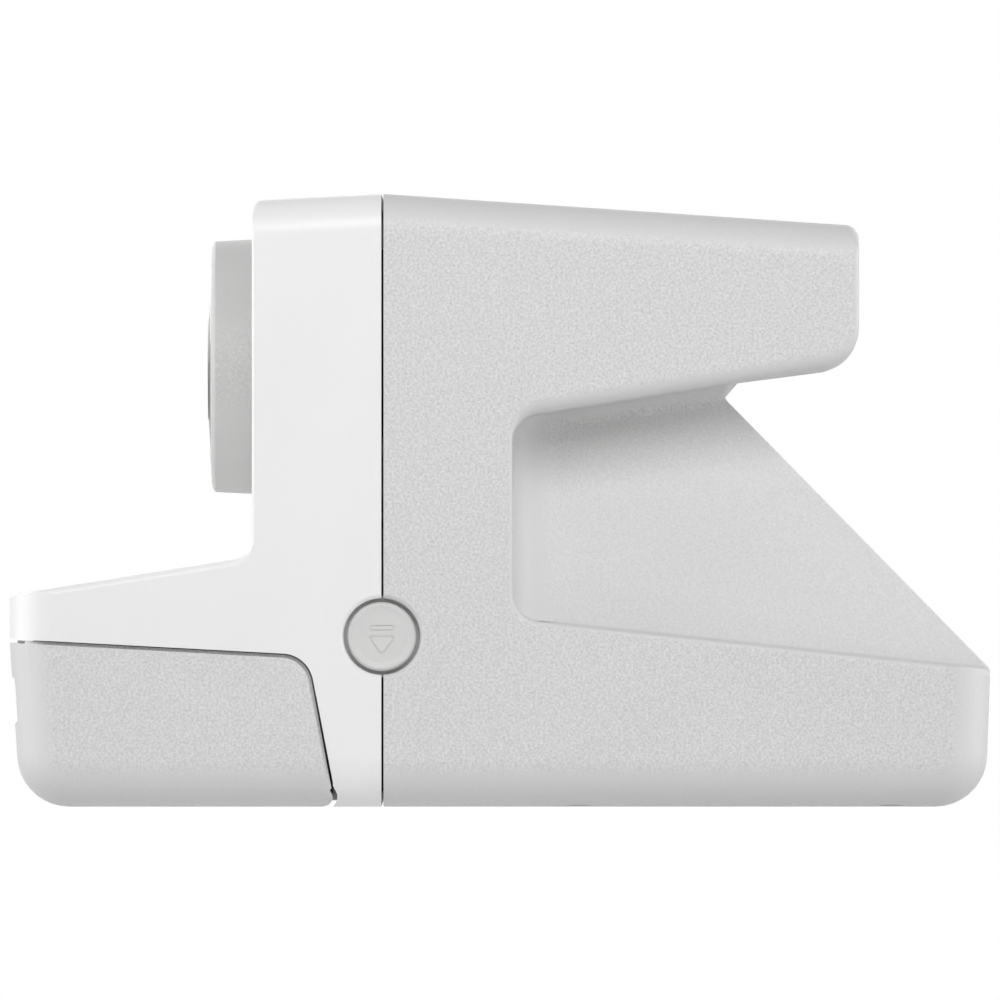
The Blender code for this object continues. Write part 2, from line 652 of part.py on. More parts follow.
def build_lens():
    """Everything turned about the lens axis, from the outer ring to the rear lens."""
    centre = (0, LENS_Z)
    mount = LENS_FRONT_Y + 5.0
    edge = [(RING_R - 0.27 - 1.88 * (1 - math.cos(t)), dome(RING_EDGE_R) + 0.8 * (1 - math.sin(t)))
            for t in (math.radians(22.5 * i) for i in range(5))]
    inner = BARREL_R + 0.5
    ring = [(inner, RING_BACK_Y), (RING_R, RING_BACK_Y)] + edge + [(inner, dome(inner))]
    make("lens_ring", turned(ring, "Y", centre, 36), "button_grey")
    hole = GLASS_R + FIT
    bezel = [(hole, mount), (BEZEL_R, mount)] + [(r, dome(r)) for r in (BEZEL_R, 12.0, hole)]
    make("lens_bezel", turned(bezel, "Y", centre, 28), "black_plastic")
    glass = [(0, LENS_FRONT_Y), (4.0, dome(4.0)), (GLASS_R, dome(GLASS_R) + 0.1), (GLASS_R, mount),
             (0, mount)]
    make("front_lens", turned(glass, "Y", centre, 24), "dark_window")
    make("lens_barrel", turned(tube(9.2, BARREL_R, mount + 0.4, -33.6), "Y", centre, 28),
         "black_plastic")
    plate = make("shutter_plate", prism(rounded_rectangle((0, 68), *SHUTTER_PLATE, 3), "Y", -33.3, -32.1),
                 "steel")
    cut(plate, turned(disc(APERTURE_R, -35, -30), "Y", centre, 24), "aperture")
    for side, name, y in ((-1, "shutter_blade_left", -31.7), (1, "shutter_blade_right", -30.9)):
        pivot = (side * BLADE_PIVOT[0], BLADE_PIVOT[1])
        join(plate, turned(disc(0.8, -32.5, -30.4), "Y", pivot, 12), f"post_{side}")
        outline = link_outline(pivot, 2.2, (side * 1.2, LENS_Z - 0.4), 6.0)
        blade = make(name, prism(outline, "Y", y, y + 0.4), "black_plastic", (pivot[0], 0, pivot[1]))
        cut(blade, turned(disc(1.1, y - 1, y + 1), "Y", pivot, 12), "pivot_hole")
    cover = make("shutter_rear_plate",
                 prism(rounded_rectangle((0, 68), *SHUTTER_PLATE, 3), "Y", -30.0, -29.0), "steel")
    cut(cover, turned(disc(APERTURE_R, -32, -27), "Y", centre, 24), "aperture")
    make("shutter_solenoid", rounded_box((10, -28.6, 52), (19, -20, 61), 0.5), "steel")
    make("lens_cell", turned(tube(8.2, 11.0, -28.6, -13.0), "Y", centre, 24), "black_plastic")
    rear = [(0, -22), (7.8, -21), (7.8, -18), (0, -16.6)]
    make("rear_lens", turned(rear, "Y", centre, 20), "clear_window")


def build_flash():
    back = PANEL_Y + WALL
    window = rounded_rectangle((FLASH_X, FLASH_Z), 23.5, 14.5, 2.3)
    make("flash_window", prism(window, "Y", PANEL_Y + 0.2, back), "clear_window")
    # A trough with a round back, drawn in (y, z) and extruded across the flash.
    trough = []
    for radius in (6.3, 5.3):
        arc = [(back + 5.5 + radius * math.sin(t), FLASH_Z + radius * math.cos(t))
               for t in (math.radians(180 * i / 8) for i in range(9))]
        row = [(back + 0.5, FLASH_Z + radius)] + arc + [(back + 0.5, FLASH_Z - radius)]
        trough.append(row)
    outline = trough[0] + trough[1][::-1]
    make("flash_reflector", prism(outline, "X", FLASH_X - 11, FLASH_X + 11), "mirror")
    rod = turned(disc(1.5, FLASH_X - 13, FLASH_X + 13), "X", (back + 6.5, FLASH_Z), 16)
    make("flash_tube", rod, "clear_window")
    make("flash_capacitor", turned(disc(5.5, -12, 20), "Y", (-44, 82), 24), "black_plastic")


def build_viewfinder():
    window = rounded_rectangle((FINDER_X, FINDER_Z), 15.5, 11.5, 2.3)
    make("viewfinder_window", prism(window, "Y", PANEL_Y + 0.2, PANEL_Y + 1.8), "dark_window")
    front = PANEL_Y + WALL + 0.4
    finder = make("viewfinder_tube", box((31, front, 75.6), (45, 52.2, 85.4)), "black_plastic")
    cut(finder, box((32.2, front - 1, 76.8), (43.8, 53.5, 84.2)), "inside")
    eyepiece = rounded_rectangle((FINDER_X, BACK_ROW_Z), 16.4, 11.4, 2.7)
    make("eyepiece_lens", prism(eyepiece, "Y", BLOCK_REAR_Y - 2.2, BLOCK_REAR_Y - 0.2), "dark_window")
    sensor = rounded_rectangle((SENSOR_X, SENSOR_Z), 11.5, 5.5, 2.6)
    make("sensor_window", prism(sensor, "Y", PANEL_Y + 0.2, PANEL_Y + 1.8), "dark_window")


# ---- Controls and electronics ----

def key_profile(radius, face, inner, outward):
    """Profile of a round key with a dished face, and a flange inside the wall."""
    edge = 0.6 * outward
    return [(0, face - edge * 0.5), (radius * 0.7, face - edge * 0.35), (radius - 0.6, face),
            (radius, face - edge), (radius, inner), (radius + 1.0, inner),
            (radius + 1.0, inner - outward), (0, inner - outward)]


def build_controls():
    wall = PANEL_Y + WALL + FIT
    for name, x, z, radius, colour in (
        ("shutter_button", SHUTTER_X, SHUTTER_Z, SHUTTER_R, "button_red"),
        ("timer_button", TIMER_X, TIMER_Z, TIMER_R, "button_grey"),
    ):
        key = turned(key_profile(radius, PANEL_Y + KEY_SINK, wall, -1), "Y", (x, z), 24)
        make(name, key, colour, (x, wall, z))
    make("front_button_board", rounded_box((24, -31.6, 43), (42, -30.6, 54), 0.2), "circuit")
    make("shutter_button_board", rounded_box((-42, -31.6, 40), (-24, -30.6, 57), 0.2), "circuit")
    wall = BLOCK_REAR_Y - WALL - FIT
    for name, x in (("power_button", POWER_X), ("flash_button", FLASH_KEY_X)):
        key = turned(key_profile(KEY_R, BLOCK_REAR_Y - KEY_SINK, wall, 1), "Y", (x, BACK_ROW_Z), 24)
        make(name, key, "button_grey", (x, wall, BACK_ROW_Z))
    counter = rounded_rectangle((COUNTER_X, BACK_ROW_Z), 11.5, 7.5, 1.3)
    make("counter_window", prism(counter, "Y", BLOCK_REAR_Y - 2.0, BLOCK_REAR_Y - 0.2), "dark_window")
    make("rear_button_board", rounded_box((-38, 48.8, 73), (16, 49.8, 85), 0.2), "circuit")
    wall = HALF_W - WALL - FIT
    key = turned(key_profile(RELEASE_R, HALF_W - 0.1, wall, 1), "X", (RELEASE_Y, RELEASE_Z), 28)
    button = make("door_release_button", key, "button_grey", (wall, RELEASE_Y, RELEASE_Z))
    stem = turned(disc(2.0, 47.8, wall - 0.5), "X", (RELEASE_Y, RELEASE_Z), 16)
    join(button, stem, "stem")
    latch = make("door_latch", box((49.6, -37, 24.6), (50.8, RELEASE_Y, 27.6)), "steel")
    join(latch, box((49.7, -37, 20.5), (50.7, -34.5, 25)), "hook")
    join(latch, turned(disc(4.0, 49.6, 50.8), "X", (RELEASE_Y, RELEASE_Z), 24), "eye")
    cut(latch, turned(disc(2.3, 49, 52), "X", (RELEASE_Y, RELEASE_Z), 16), "stem_hole")


def build_electronics():
    make("main_board", rounded_box((-36, -12, 81.6), (29, 46, 82.8), 0.2), "circuit")
    make("controller_chip", rounded_box((-10, 8, 83.1), (2, 20, 84.4), 0.2), "black_plastic")
    make("battery", rounded_box((-53, 2, 69.6), (-33, 48, 75.4), 1.0), "battery_wrap")
    left = -HALF_W
    socket = make("charging_socket",
                  prism(rounded_rectangle((USB_Y, USB_Z), 8.6, 3.0, 1.45), "X", left + 0.4, left + 7),
                  "steel")
    cut(socket, prism(rounded_rectangle((USB_Y, USB_Z), 7.8, 2.2, 1.05), "X", left - 1, left + 6),
        "mouth")
    make("status_light", turned(disc(1.0, left + 0.2, left + 5), "X", (LIGHT_Y, USB_Z), 12),
         "clear_window")


def main():
    for old in list(bpy.data.objects):
        bpy.data.objects.remove(old, do_unlink=True)
    build_front_cover()
    build_rear_cover()
    build_film_door()
    build_rollers()
    build_drive()
    build_film_chamber()
    build_dark_chamber()
    build_lens()
    build_flash()
    build_viewfinder()
    build_controls()
    build_electronics()


main()
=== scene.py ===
"""Instant camera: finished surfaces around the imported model.

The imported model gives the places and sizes. Lengths here are in millimetres, and become metres
where a mesh is made. +Z is up, the lens faces -Y, and the door release is on the +X side.
"""

import json
import math

import bmesh
import bpy
from mathutils import Matrix, Vector


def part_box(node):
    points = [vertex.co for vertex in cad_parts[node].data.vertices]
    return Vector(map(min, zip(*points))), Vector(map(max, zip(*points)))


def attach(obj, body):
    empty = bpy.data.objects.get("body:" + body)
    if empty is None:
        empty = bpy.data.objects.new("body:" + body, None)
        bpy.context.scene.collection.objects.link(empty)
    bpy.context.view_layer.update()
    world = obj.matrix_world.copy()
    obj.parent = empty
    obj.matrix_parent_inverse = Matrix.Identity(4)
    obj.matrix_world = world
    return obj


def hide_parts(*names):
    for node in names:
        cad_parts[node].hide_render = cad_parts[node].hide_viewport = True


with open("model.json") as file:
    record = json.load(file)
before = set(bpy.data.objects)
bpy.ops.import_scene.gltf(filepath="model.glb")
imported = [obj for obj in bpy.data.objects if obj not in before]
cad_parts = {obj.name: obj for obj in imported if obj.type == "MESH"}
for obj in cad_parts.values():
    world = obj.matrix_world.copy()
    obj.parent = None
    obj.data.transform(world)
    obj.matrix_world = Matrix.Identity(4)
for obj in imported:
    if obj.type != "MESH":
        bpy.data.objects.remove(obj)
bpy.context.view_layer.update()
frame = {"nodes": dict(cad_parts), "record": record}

MM = 0.001


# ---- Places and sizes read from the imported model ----

def corners(node):
    """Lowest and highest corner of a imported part, in millimetres."""
    low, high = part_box(node)
    return low / MM, high / MM


def middle(node):
    low, high = corners(node)
    return (low + high) / 2


def joint_place(name):
    """Place of a joint's axis, in millimetres."""
    found = [j for j in frame["record"]["behaviour"]["joints"] if j["name"] == name][0]
    return Vector(found["pos_m"]) / MM


FRONT_LOW, FRONT_HIGH = corners("front_cover")
REAR_LOW, REAR_HIGH = corners("rear_cover")
HALF_W = FRONT_HIGH.x
TOP_Z = FRONT_HIGH.z
FRONT_Y = FRONT_LOW.y
REAR_Y = REAR_HIGH.y + 0.02        # corner of the rear face before it is rounded
SEAM_Y = (FRONT_HIGH.y + REAR_LOW.y) / 2
SEAM_GAP = REAR_LOW.y - FRONT_HIGH.y
RING_LOW, RING_HIGH = corners("lens_ring")
LENS_Z = (RING_LOW.z + RING_HIGH.z) / 2
RING_R = RING_HIGH.x
PANEL_Y = RING_HIGH.y + 0.05       # front panel, just behind the lens ring's back
HINGE = joint_place("door_hinge")
RELEASE = middle("door_release_button")
BLOCK_REAR_Y = corners("counter_window")[1].y + 0.2    # its windows sit a little below it
SCREWS = [f"base_screw_{place}_{side}" for place in ("front", "rear") for side in ("left", "right")]

# ---- Shape of the case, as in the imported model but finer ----
WALL = 2.0
PANEL_TOP_Z = 92.9
CHIN_TOP_Z = 38.3
CHIN_NOSE_Z = 32.45
BLOCK_REAR_Z = 89.0
BLOCK_LOW_Z = 68.0
SLOPE_TOP = (32.7, 64.1)
SLOPE_LOW = (REAR_Y, 21.07)
RECESS_Y = 1.85
RECESS_TOP_Z = 59.6
RECESS_LOW_Z = 28.8
RECESS_FLOOR_X = 47.1
RECESS_LEAN = 0.297
RECESS_LEAN_FROM_Z = 25.0          # where the floor is at RECESS_FLOOR_X
RECESS_WALL_R = 6.5      # soft inner corner between the recess floor and its front wall
RECESS_ROOF_R = 3.2      # and between the floor and the block above it
MIDDLE_X = 34.0          # half-width of the plain middle of the rear cover
FAN_X = 36.0             # the sections of that inner corner start here on the block and base
FAN_STEP = 0.4
SLOPE_ROOF_Y = 36.6      # where the sloping back meets the block's underside
RECESS_ROOF_Y = 34.6     # and where the recess does
DOOR_FRONT_Z = 25.35
DOOR_REAR = (-29.75, 22.9)
DOOR_CORNER_R = 4.5
DOOR_DRAFT = 1.65
DOOR_GAP = 0.2           # from the parting line to the door
DOOR_SEAM_GAP = 0.36     # and to the front cover
DOOR_SEAM_EDGE = 0.12    # softening of both edges
DOOR_LIP = 0.42          # height of the door's sunk lip, which closes most of the gap
DOOR_LIP_DEPTH = (1.3, 1.8)        # from and to, under the side faces
HINGE_LIP = 0.28         # the lip's height round the hinge
HINGE_R = 1.35
HINGE_SWEEP_R = 2.1
HINGE_BORE_R = 0.9
HINGE_BEAD_X = 48.0
KNUCKLE_X = (18.0, 26.0)
KNUCKLE_GAP = 0.3
AHEAD_Y, BELOW_Z = -90.0, -9.0     # a place clear of the case, for cutters
RELEASE_HOLE_R = 5.84
RELEASE_CAP_R = 5.27
SIGN_DEPTH = 0.14        # engraved line of the release sign
SIGN_LINE = 0.18
BEZEL_HOLE_R = 7.3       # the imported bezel's edge at the lens
RING_EDGE_R = 17.5       # where the ring's face turns into its side
CORNER_STEPS = 9
INNER_STEPS = 6
LIP = 0.14               # rounding of the covers' edges along the seam
LIP_ROWS = ((0.0, LIP), (0.3 * LIP, 0.3 * LIP), (LIP, 0.0))


# ---- Node materials ----

def feed(tree, socket, value):
    """Set an input socket to a plain value, or link it to an output."""
    if isinstance(value, (int, float, tuple)):
        socket.default_value = value
    else:
        tree.links.new(value, socket)


def new_material(name, colour, roughness, metallic=0.0, **sockets):
    """A Principled material whose constant values sit on the shader's own sockets."""
    material = bpy.data.materials.new(name)
    material.use_nodes = True
    shader = material.node_tree.nodes["Principled BSDF"]
    shader.inputs["Base Color"].default_value = (*colour, 1.0)
    shader.inputs["Roughness"].default_value = roughness
    shader.inputs["Metallic"].default_value = metallic
    for label, value in sockets.items():
        shader.inputs[label.replace("_", " ")].default_value = value
    return material, material.node_tree, shader


def noise(tree, scale, detail=2.0, stretch=None):
    """Object-space noise; stretch scales it along each axis."""
    place = tree.nodes.new("ShaderNodeTexCoord")
    out = place.outputs["Object"]
    if stretch:
        mapping = tree.nodes.new("ShaderNodeMapping")
        mapping.inputs["Scale"].default_value = stretch
        tree.links.new(out, mapping.inputs["Vector"])
        out = mapping.outputs["Vector"]
    node = tree.nodes.new("ShaderNodeTexNoise")
    node.inputs["Scale"].default_value = scale
    node.inputs["Detail"].default_value = detail
    node.inputs["Roughness"].default_value = 0.6
    tree.links.new(out, node.inputs["Vector"])
    return node.outputs["Fac"]


def ramp(tree, value, low, high, from_low=0.3, from_high=0.7):
    """Map a texture's value onto a small range."""
    node = tree.nodes.new("ShaderNodeMapRange")
    for label, item in (("From Min", from_low), ("From Max", from_high), ("To Min", low),
                        ("To Max", high), ("Value", value)):
        feed(tree, node.inputs[label], item)
    return node.outputs["Result"]


def blend(tree, factor, first, second, kind="MIX"):
    """Mix two colours; every value is a socket or a plain value."""
    node = tree.nodes.new("ShaderNodeMix")
    node.data_type = "RGBA"
    node.blend_type = kind
    for label, value in (("Factor", factor), ("A", first), ("B", second)):
        feed(tree, node.inputs[label], value)
    return node.outputs["Result"]


def tinted(tree, shader, colour, factor, edge=0.0):
    """Base colour times a factor, with a painted highlight that lightens convex edges a little."""
    result = blend(tree, 1.0, (*colour, 1.0), factor, "MULTIPLY")
    if edge:
        geometry = tree.nodes.new("ShaderNodeNewGeometry")
        # Painted highlight: convex edges, found by pointiness, are lightened towards white.
        edge_highlight = ramp(tree, geometry.outputs["Pointiness"], 0.0, edge, 0.52, 0.62)
        result = blend(tree, edge_highlight, result, (1.0, 1.0, 1.0, 1.0))
    tree.links.new(result, shader.inputs["Base Color"])


def bumped(tree, shader, *layers):
    """Chain bump layers of (height, strength, distance in millimetres)."""
    normal = None
    for height, strength, distance in layers:
        bump = tree.nodes.new("ShaderNodeBump")
        bump.inputs["Strength"].default_value = strength
        bump.inputs["Distance"].default_value = distance * MM
        tree.links.new(height, bump.inputs["Height"])
        if normal:
            tree.links.new(normal, bump.inputs["Normal"])
        normal = bump.outputs["Normal"]
    tree.links.new(normal, shader.inputs["Normal"])


def arithmetic(tree, operation, *values):
    """A Math node over sockets or plain numbers."""
    node = tree.nodes.new("ShaderNodeMath")
    node.operation = operation
    for slot, value in enumerate(values):
        feed(tree, node.inputs[slot], value)
    return node.outputs["Value"]


def on_flats(tree, value):
    """Fade a texture out where the surface turns away from the mould's flat faces."""
    place = tree.nodes.new("ShaderNodeTexCoord")
    size = tree.nodes.new("ShaderNodeVectorMath")
    size.operation = "ABSOLUTE"
    parts = tree.nodes.new("ShaderNodeSeparateXYZ")
    tree.links.new(place.outputs["Normal"], size.inputs[0])
    tree.links.new(size.outputs["Vector"], parts.inputs["Vector"])
    flat = arithmetic(tree, "MAXIMUM", parts.outputs["X"], parts.outputs["Y"])
    flat = arithmetic(tree, "MAXIMUM", flat, parts.outputs["Z"])
    mask = ramp(tree, flat, 0.15, 1.0, 0.93, 1.0)
    return arithmetic(tree, "MULTIPLY_ADD", arithmetic(tree, "SUBTRACT", value, 0.5), mask, 0.5)


def moulded(name, colour, roughness, grain, strength, tint, edge, blasted=False, **sockets):
    """Moulded plastic: a fine grain, slow drift in tone and gloss, and a painted highlight on convex
    edges.
    """
    material, tree, shader = new_material(name, colour, roughness, **sockets)
    fine = noise(tree, grain, 3.0)
    if blasted:
        fine = on_flats(tree, fine)
    slow = noise(tree, 35.0, 2.0)
    tone = arithmetic(tree, "MULTIPLY", ramp(tree, fine, 1.0 - tint, 1.0 + tint),
                      ramp(tree, slow, 0.992, 1.008))
    tinted(tree, shader, colour, tone, edge)
    tree.links.new(ramp(tree, slow, roughness - 0.03, roughness + 0.03), shader.inputs["Roughness"])
    bumped(tree, shader, (fine, strength, 0.05), (slow, 0.08, 0.05))
    return material


def metal(name, colour, roughness, stretch, strength=0.25):
    """Metal with a drawn or turned grain that runs the way stretch is smallest."""
    material, tree, shader = new_material(name, colour, roughness, 1.0)
    lines = noise(tree, 900.0, 3.0, stretch)
    cloud = noise(tree, 60.0, 2.0)
    tinted(tree, shader, colour, ramp(tree, cloud, 0.93, 1.05))
    tree.links.new(ramp(tree, lines, roughness - 0.08, roughness + 0.1), shader.inputs["Roughness"])
    bumped(tree, shader, (lines, strength, 0.02))
    return material


def clear(name, colour, roughness, **sockets):
    """Clear moulded plastic or glass with faint ripples."""
    material, tree, shader = new_material(name, colour, roughness, **sockets)
    ripple = noise(tree, 120.0, 2.0)
    tree.links.new(ramp(tree, ripple, roughness, roughness + 0.03), shader.inputs["Roughness"])
    bumped(tree, shader, (ripple, 0.05, 0.05))
    return material


def coated_glass(name, colour, grazing_reflection_colour):
    """Dark polished glass with a painted reflection: its base colour turns towards a purple coating
    tint at grazing view.
    """
    material, tree, shader = new_material(name, colour, 0.04, IOR=1.6, Coat_Weight=1.0,
                                          Coat_Roughness=0.02)
    # Painted reflection: the base colour blends towards the coating's reflection tint where the
    # surface turns away from the view.
    facing = tree.nodes.new("ShaderNodeLayerWeight")
    facing.inputs["Blend"].default_value = 0.35
    tone = blend(tree, facing.outputs["Facing"], (*colour, 1.0), (*grazing_reflection_colour, 1.0))
    tree.links.new(tone, shader.inputs["Base Color"])
    tree.links.new(ramp(tree, noise(tree, 90.0), 0.03, 0.06), shader.inputs["Roughness"])
    return material


def circuit_board(name):
    """Green solder mask with faint tracks under it."""
    material, tree, shader = new_material(name, (0.02, 0.12, 0.06), 0.35, Coat_Weight=0.3)
    place = tree.nodes.new("ShaderNodeTexCoord")
    brick = tree.nodes.new("ShaderNodeTexBrick")
    for label, value in (("Scale", 260.0), ("Mortar Size", 0.06), ("Color1", (0.02, 0.11, 0.05, 1.0)),
                         ("Color2", (0.03, 0.15, 0.07, 1.0)), ("Mortar", (0.08, 0.3, 0.14, 1.0)),
                         ("Vector", place.outputs["Object"])):
        feed(tree, brick.inputs[label], value)
    tree.links.new(brick.outputs["Color"], shader.inputs["Base Color"])
    tree.links.new(ramp(tree, noise(tree, 400.0), 0.28, 0.45), shader.inputs["Roughness"])
    bumped(tree, shader, (brick.outputs["Fac"], 0.3, 0.03))
    return material


def make_materials():
    black = (0.018, 0.018, 0.019)
    return {
        # In each moulded() call, the number after the tint sets the painted highlight on convex edges.
        "white_shell": moulded("white_satin", (0.87, 0.87, 0.87), 0.36, 1500.0, 0.04, 0.004, 0.3,
                               Coat_Weight=0.05),
        "grey_shell": moulded("grey_blasted", (0.67, 0.67, 0.668), 0.5, 2600.0, 0.6, 0.16, 0.06, True),
        "ring_grey": moulded("grey_ring", (0.615, 0.615, 0.61), 0.46, 2600.0, 0.5, 0.12, 0.06, True),
        "bezel_black": moulded("bezel_black", black, 0.4, 1400.0, 0.1, 0.1, 0.02,
                               Coat_Weight=1.0, Coat_Roughness=0.04),
        "trim_grey": moulded("grey_trim", (0.66, 0.66, 0.655), 0.42, 1900.0, 0.10, 0.008, 0.06),
        "button_red": moulded("red_button", (0.72, 0.055, 0.025), 0.35, 2200.0, 0.08, 0.02, 0.03),
        "black_plastic": moulded("black_mould", black, 0.48, 1400.0, 0.3, 0.1, 0.02),
        "steel": metal("drawn_steel", (0.56, 0.56, 0.57), 0.3, (0.04, 1.0, 1.0)),
        "dark_window": coated_glass("dark_window", (0.008, 0.008, 0.01), (0.05, 0.04, 0.08)),
        "clear_window": clear("clear_window", (0.93, 0.95, 0.96), 0.06, IOR=1.49,
                              Transmission_Weight=1.0),
        "mirror": metal("mirror_coat", (0.9, 0.9, 0.91), 0.09, (1.0, 1.0, 1.0), 0.03),
        "circuit": circuit_board("solder_mask"),
        "battery_wrap": moulded("battery_wrap", (0.06, 0.08, 0.2), 0.3, 700.0, 0.1, 0.05, 0.02),
    }


MATERIALS = make_materials()


# ---- Making pieces ----

def shade(obj):
    obj.data.shade_smooth()
    obj.data.set_sharp_from_angle(angle=math.radians(30))


def weigh_normals(obj):
    weighted = obj.modifiers.new("weighted", "WEIGHTED_NORMAL")
    weighted.keep_sharp = True


def placed(name, data):
    obj = bpy.data.objects.new(name, data)
    bpy.context.collection.objects.link(obj)
    return obj


def raw_object(name, shape):
    """An object at the origin from a mesh in millimetres."""
    bmesh.ops.scale(shape, verts=shape.verts, vec=(MM, MM, MM))
    bmesh.ops.recalc_face_normals(shape, faces=shape.faces)
    mesh = bpy.data.meshes.new(name)
    shape.to_mesh(mesh)
    shape.free()
    return placed(name, mesh)


def boolean(obj, shapes, operation="DIFFERENCE"):
    """Cut shapes out of obj, or join or intersect with them, and keep the result as its mesh."""
    tool_shape = bmesh.new()
    for shape in shapes:
        mesh = bpy.data.meshes.new("tool")
        bmesh.ops.recalc_face_normals(shape, faces=shape.faces)
        shape.to_mesh(mesh)
        shape.free()
        tool_shape.from_mesh(mesh)
        bpy.data.meshes.remove(mesh)
    bmesh.ops.scale(tool_shape, verts=tool_shape.verts, vec=(MM, MM, MM))
    mesh = bpy.data.meshes.new("tool")
    tool_shape.to_mesh(mesh)
    tool_shape.free()
    tool = placed("tool", mesh)
    modifier = obj.modifiers.new("cut", "BOOLEAN")
    modifier.operation = operation
    modifier.solver = "EXACT"
    modifier.object = tool
    bpy.context.view_layer.update()
    evaluated = obj.evaluated_get(bpy.context.evaluated_depsgraph_get())
    result = bpy.data.meshes.new_from_object(evaluated)
    obj.modifiers.clear()
    old = obj.data
    obj.data = result
    bpy.data.meshes.remove(old)
    bpy.data.objects.remove(tool)


def finish_piece(obj, slot, body, nodes=(), material=None):
    """Shade a piece, give it its material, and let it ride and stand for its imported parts."""
    shade(obj)
    weigh_normals(obj)
    obj.data.materials.clear()
    obj.data.materials.append(MATERIALS[material or slot])
    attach(obj, body)
    if nodes:
        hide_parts(*nodes)


# ---- Basic shapes, all in millimetres ----

def on_axis(axis, across, up, along):
    if axis == "X":
        return (along, across, up)
    if axis == "Y":
        return (across, along, up)
    return (across, up, along)


def loft(outlines, axis, places):
    """A closed solid through outlines of equal length, square to axis, at the given places."""
    shape = bmesh.new()
    rings = [[shape.verts.new(on_axis(axis, a, b, at)) for a, b in outline]
             for outline, at in zip(outlines, places)]
    shape.faces.new(rings[0])
    shape.faces.new(reversed(rings[-1]))
    count = len(rings[0])
    for ring, following in zip(rings, rings[1:]):
        for i in range(count):
            j = (i + 1) % count
            shape.faces.new((ring[i], ring[j], following[j], following[i]))
    return shape


def prism(outline, axis, low, high):
    return loft([outline, outline], axis, [low, high])


def box(low, high):
    (x0, y0, z0), (x1, y1, z1) = low, high
    return prism([(x0, y0), (x1, y0), (x1, y1), (x0, y1)], "Z", z0, z1)


def turned(profile, axis, centre, steps=96):
    """A solid of revolution: profile holds (radius, place along axis) points."""
    shape = bmesh.new()
    rings = []
    for radius, along in profile:
        count = steps if radius > 1e-6 else 1
        turns = [2 * math.pi * i / steps for i in range(count)]
        rings.append([
            shape.verts.new(on_axis(axis, centre[0] + radius * math.cos(t),
                                    centre[1] + radius * math.sin(t), along))
            for t in turns
        ])
    pairs = list(zip(rings, rings[1:]))
    if profile[0][0] > 1e-6:
        pairs.append((rings[-1], rings[0]))
    for ring, following in pairs:
        for i in range(steps):
            j = (i + 1) % steps
            corner = [ring[i % len(ring)], ring[j % len(ring)],
                      following[j % len(following)], following[i % len(following)]]
            corner = list(dict.fromkeys(corner))
            if len(corner) > 2:
                shape.faces.new(corner)
    return shape


def soft_profile(points, steps=4):
    """Round the corners of a turned profile: points hold (radius, along, rounding)."""
    result = []
    count = len(points)
    for i, (radius, along, rounding) in enumerate(points):
        corner = Vector((radius, along))
        before = Vector(points[i - 1][:2])
        after = Vector(points[(i + 1) % count][:2])
        if rounding == 0:
            result.append(tuple(corner))
            continue
        result += [tuple(p) for p in arc_points(before, corner, after, rounding, steps)]
    return result


def rounded_rectangle(centre, width, height, radius, steps=10):
    points = []
    for quarter, (sx, sy) in enumerate(((1, 1), (-1, 1), (-1, -1), (1, -1))):
        cx = centre[0] + sx * (width / 2 - radius)
        cy = centre[1] + sy * (height / 2 - radius)
        for i in range(steps + 1):
            turn = math.radians(90) * (quarter + i / steps)
            points.append((cx + radius * math.cos(turn), cy + radius * math.sin(turn)))
    return points


def pane(centre, width, height, radius, axis, face, back, edge=0.3):
    """A window pane with a rounded front edge; face is its front and back its rear place."""
    toward = 1 if back > face else -1
    outlines, places = [], []
    for turn in (0, 22.5, 45, 67.5, 90):
        inset = edge * (1 - math.sin(math.radians(turn)))
        rise = edge * (1 - math.cos(math.radians(turn)))
        outlines.append(rounded_rectangle(centre, width - 2 * inset, height - 2 * inset,
                                          max(radius - inset, 0.2)))
        places.append(face + toward * rise)
    outlines.append(rounded_rectangle(centre, width, height, radius))
    places.append(back)
    return loft(outlines, axis, places)


def hole(outline_at, axis, mouth, depth, chamfer=0.35):
    """A cutter for an opening with a chamfered mouth.

    outline_at(grow) gives the opening's outline; mouth is the outer face, and depth reaches inwards.
    """
    inward = 1 if depth > 0 else -1
    rows = ((chamfer + 1.0, -1.0), (chamfer, 0.0), (chamfer * 0.45, chamfer * 0.35),
            (0.1 * chamfer, chamfer * 0.75), (0.0, chamfer * 1.2), (0.0, abs(depth)))
    outlines = [outline_at(grow) for grow, _ in rows]
    places = [mouth + inward * along for _, along in rows]
    return loft(outlines, axis, places)


def round_hole(centre, radius, axis, mouth, depth, chamfer=0.35, steps=72):
    def outline(grow):
        turns = [2 * math.pi * i / steps for i in range(steps)]
        reach = radius + grow
        return [(centre[0] + reach * math.cos(t), centre[1] + reach * math.sin(t)) for t in turns]
    return hole(outline, axis, mouth, depth, chamfer)


def window_hole(centre, width, height, radius, axis, mouth, depth, chamfer=0.35):
    def outline(grow):
        return rounded_rectangle(centre, width + 2 * grow, height + 2 * grow, radius + grow)
    return hole(outline, axis, mouth, depth, chamfer)


# ---- Case shells ----

def arc_points(before, corner, after, radius, steps):
    """Points of a rounded corner, from the stretch before it to the one after."""
    u = (before - corner).normalized()
    v = (after - corner).normalized()
    half = u.angle(v) / 2
    centre = corner + (u + v).normalized() * radius / math.sin(half)
    start = corner + u * radius / math.tan(half) - centre
    sweep = -math.copysign(math.pi - 2 * half, u.cross(v))
    return [centre + Matrix.Rotation(sweep * i / steps, 2) @ start for i in range(steps + 1)]


def moved_corner(before, corner, after, inset_in, inset_out):
    """Where a corner goes when the stretches on its two sides move inwards."""
    d_in = (corner - before).normalized()
    d_out = (after - corner).normalized()
    start = corner + Vector((-d_in.y, d_in.x)) * inset_in
    other = corner + Vector((-d_out.y, d_out.x)) * inset_out
    turn = d_in.cross(d_out)
    if abs(turn) < 1e-4:
        return (start + other) / 2
    return start + d_in * ((other - start).cross(d_out) / turn)


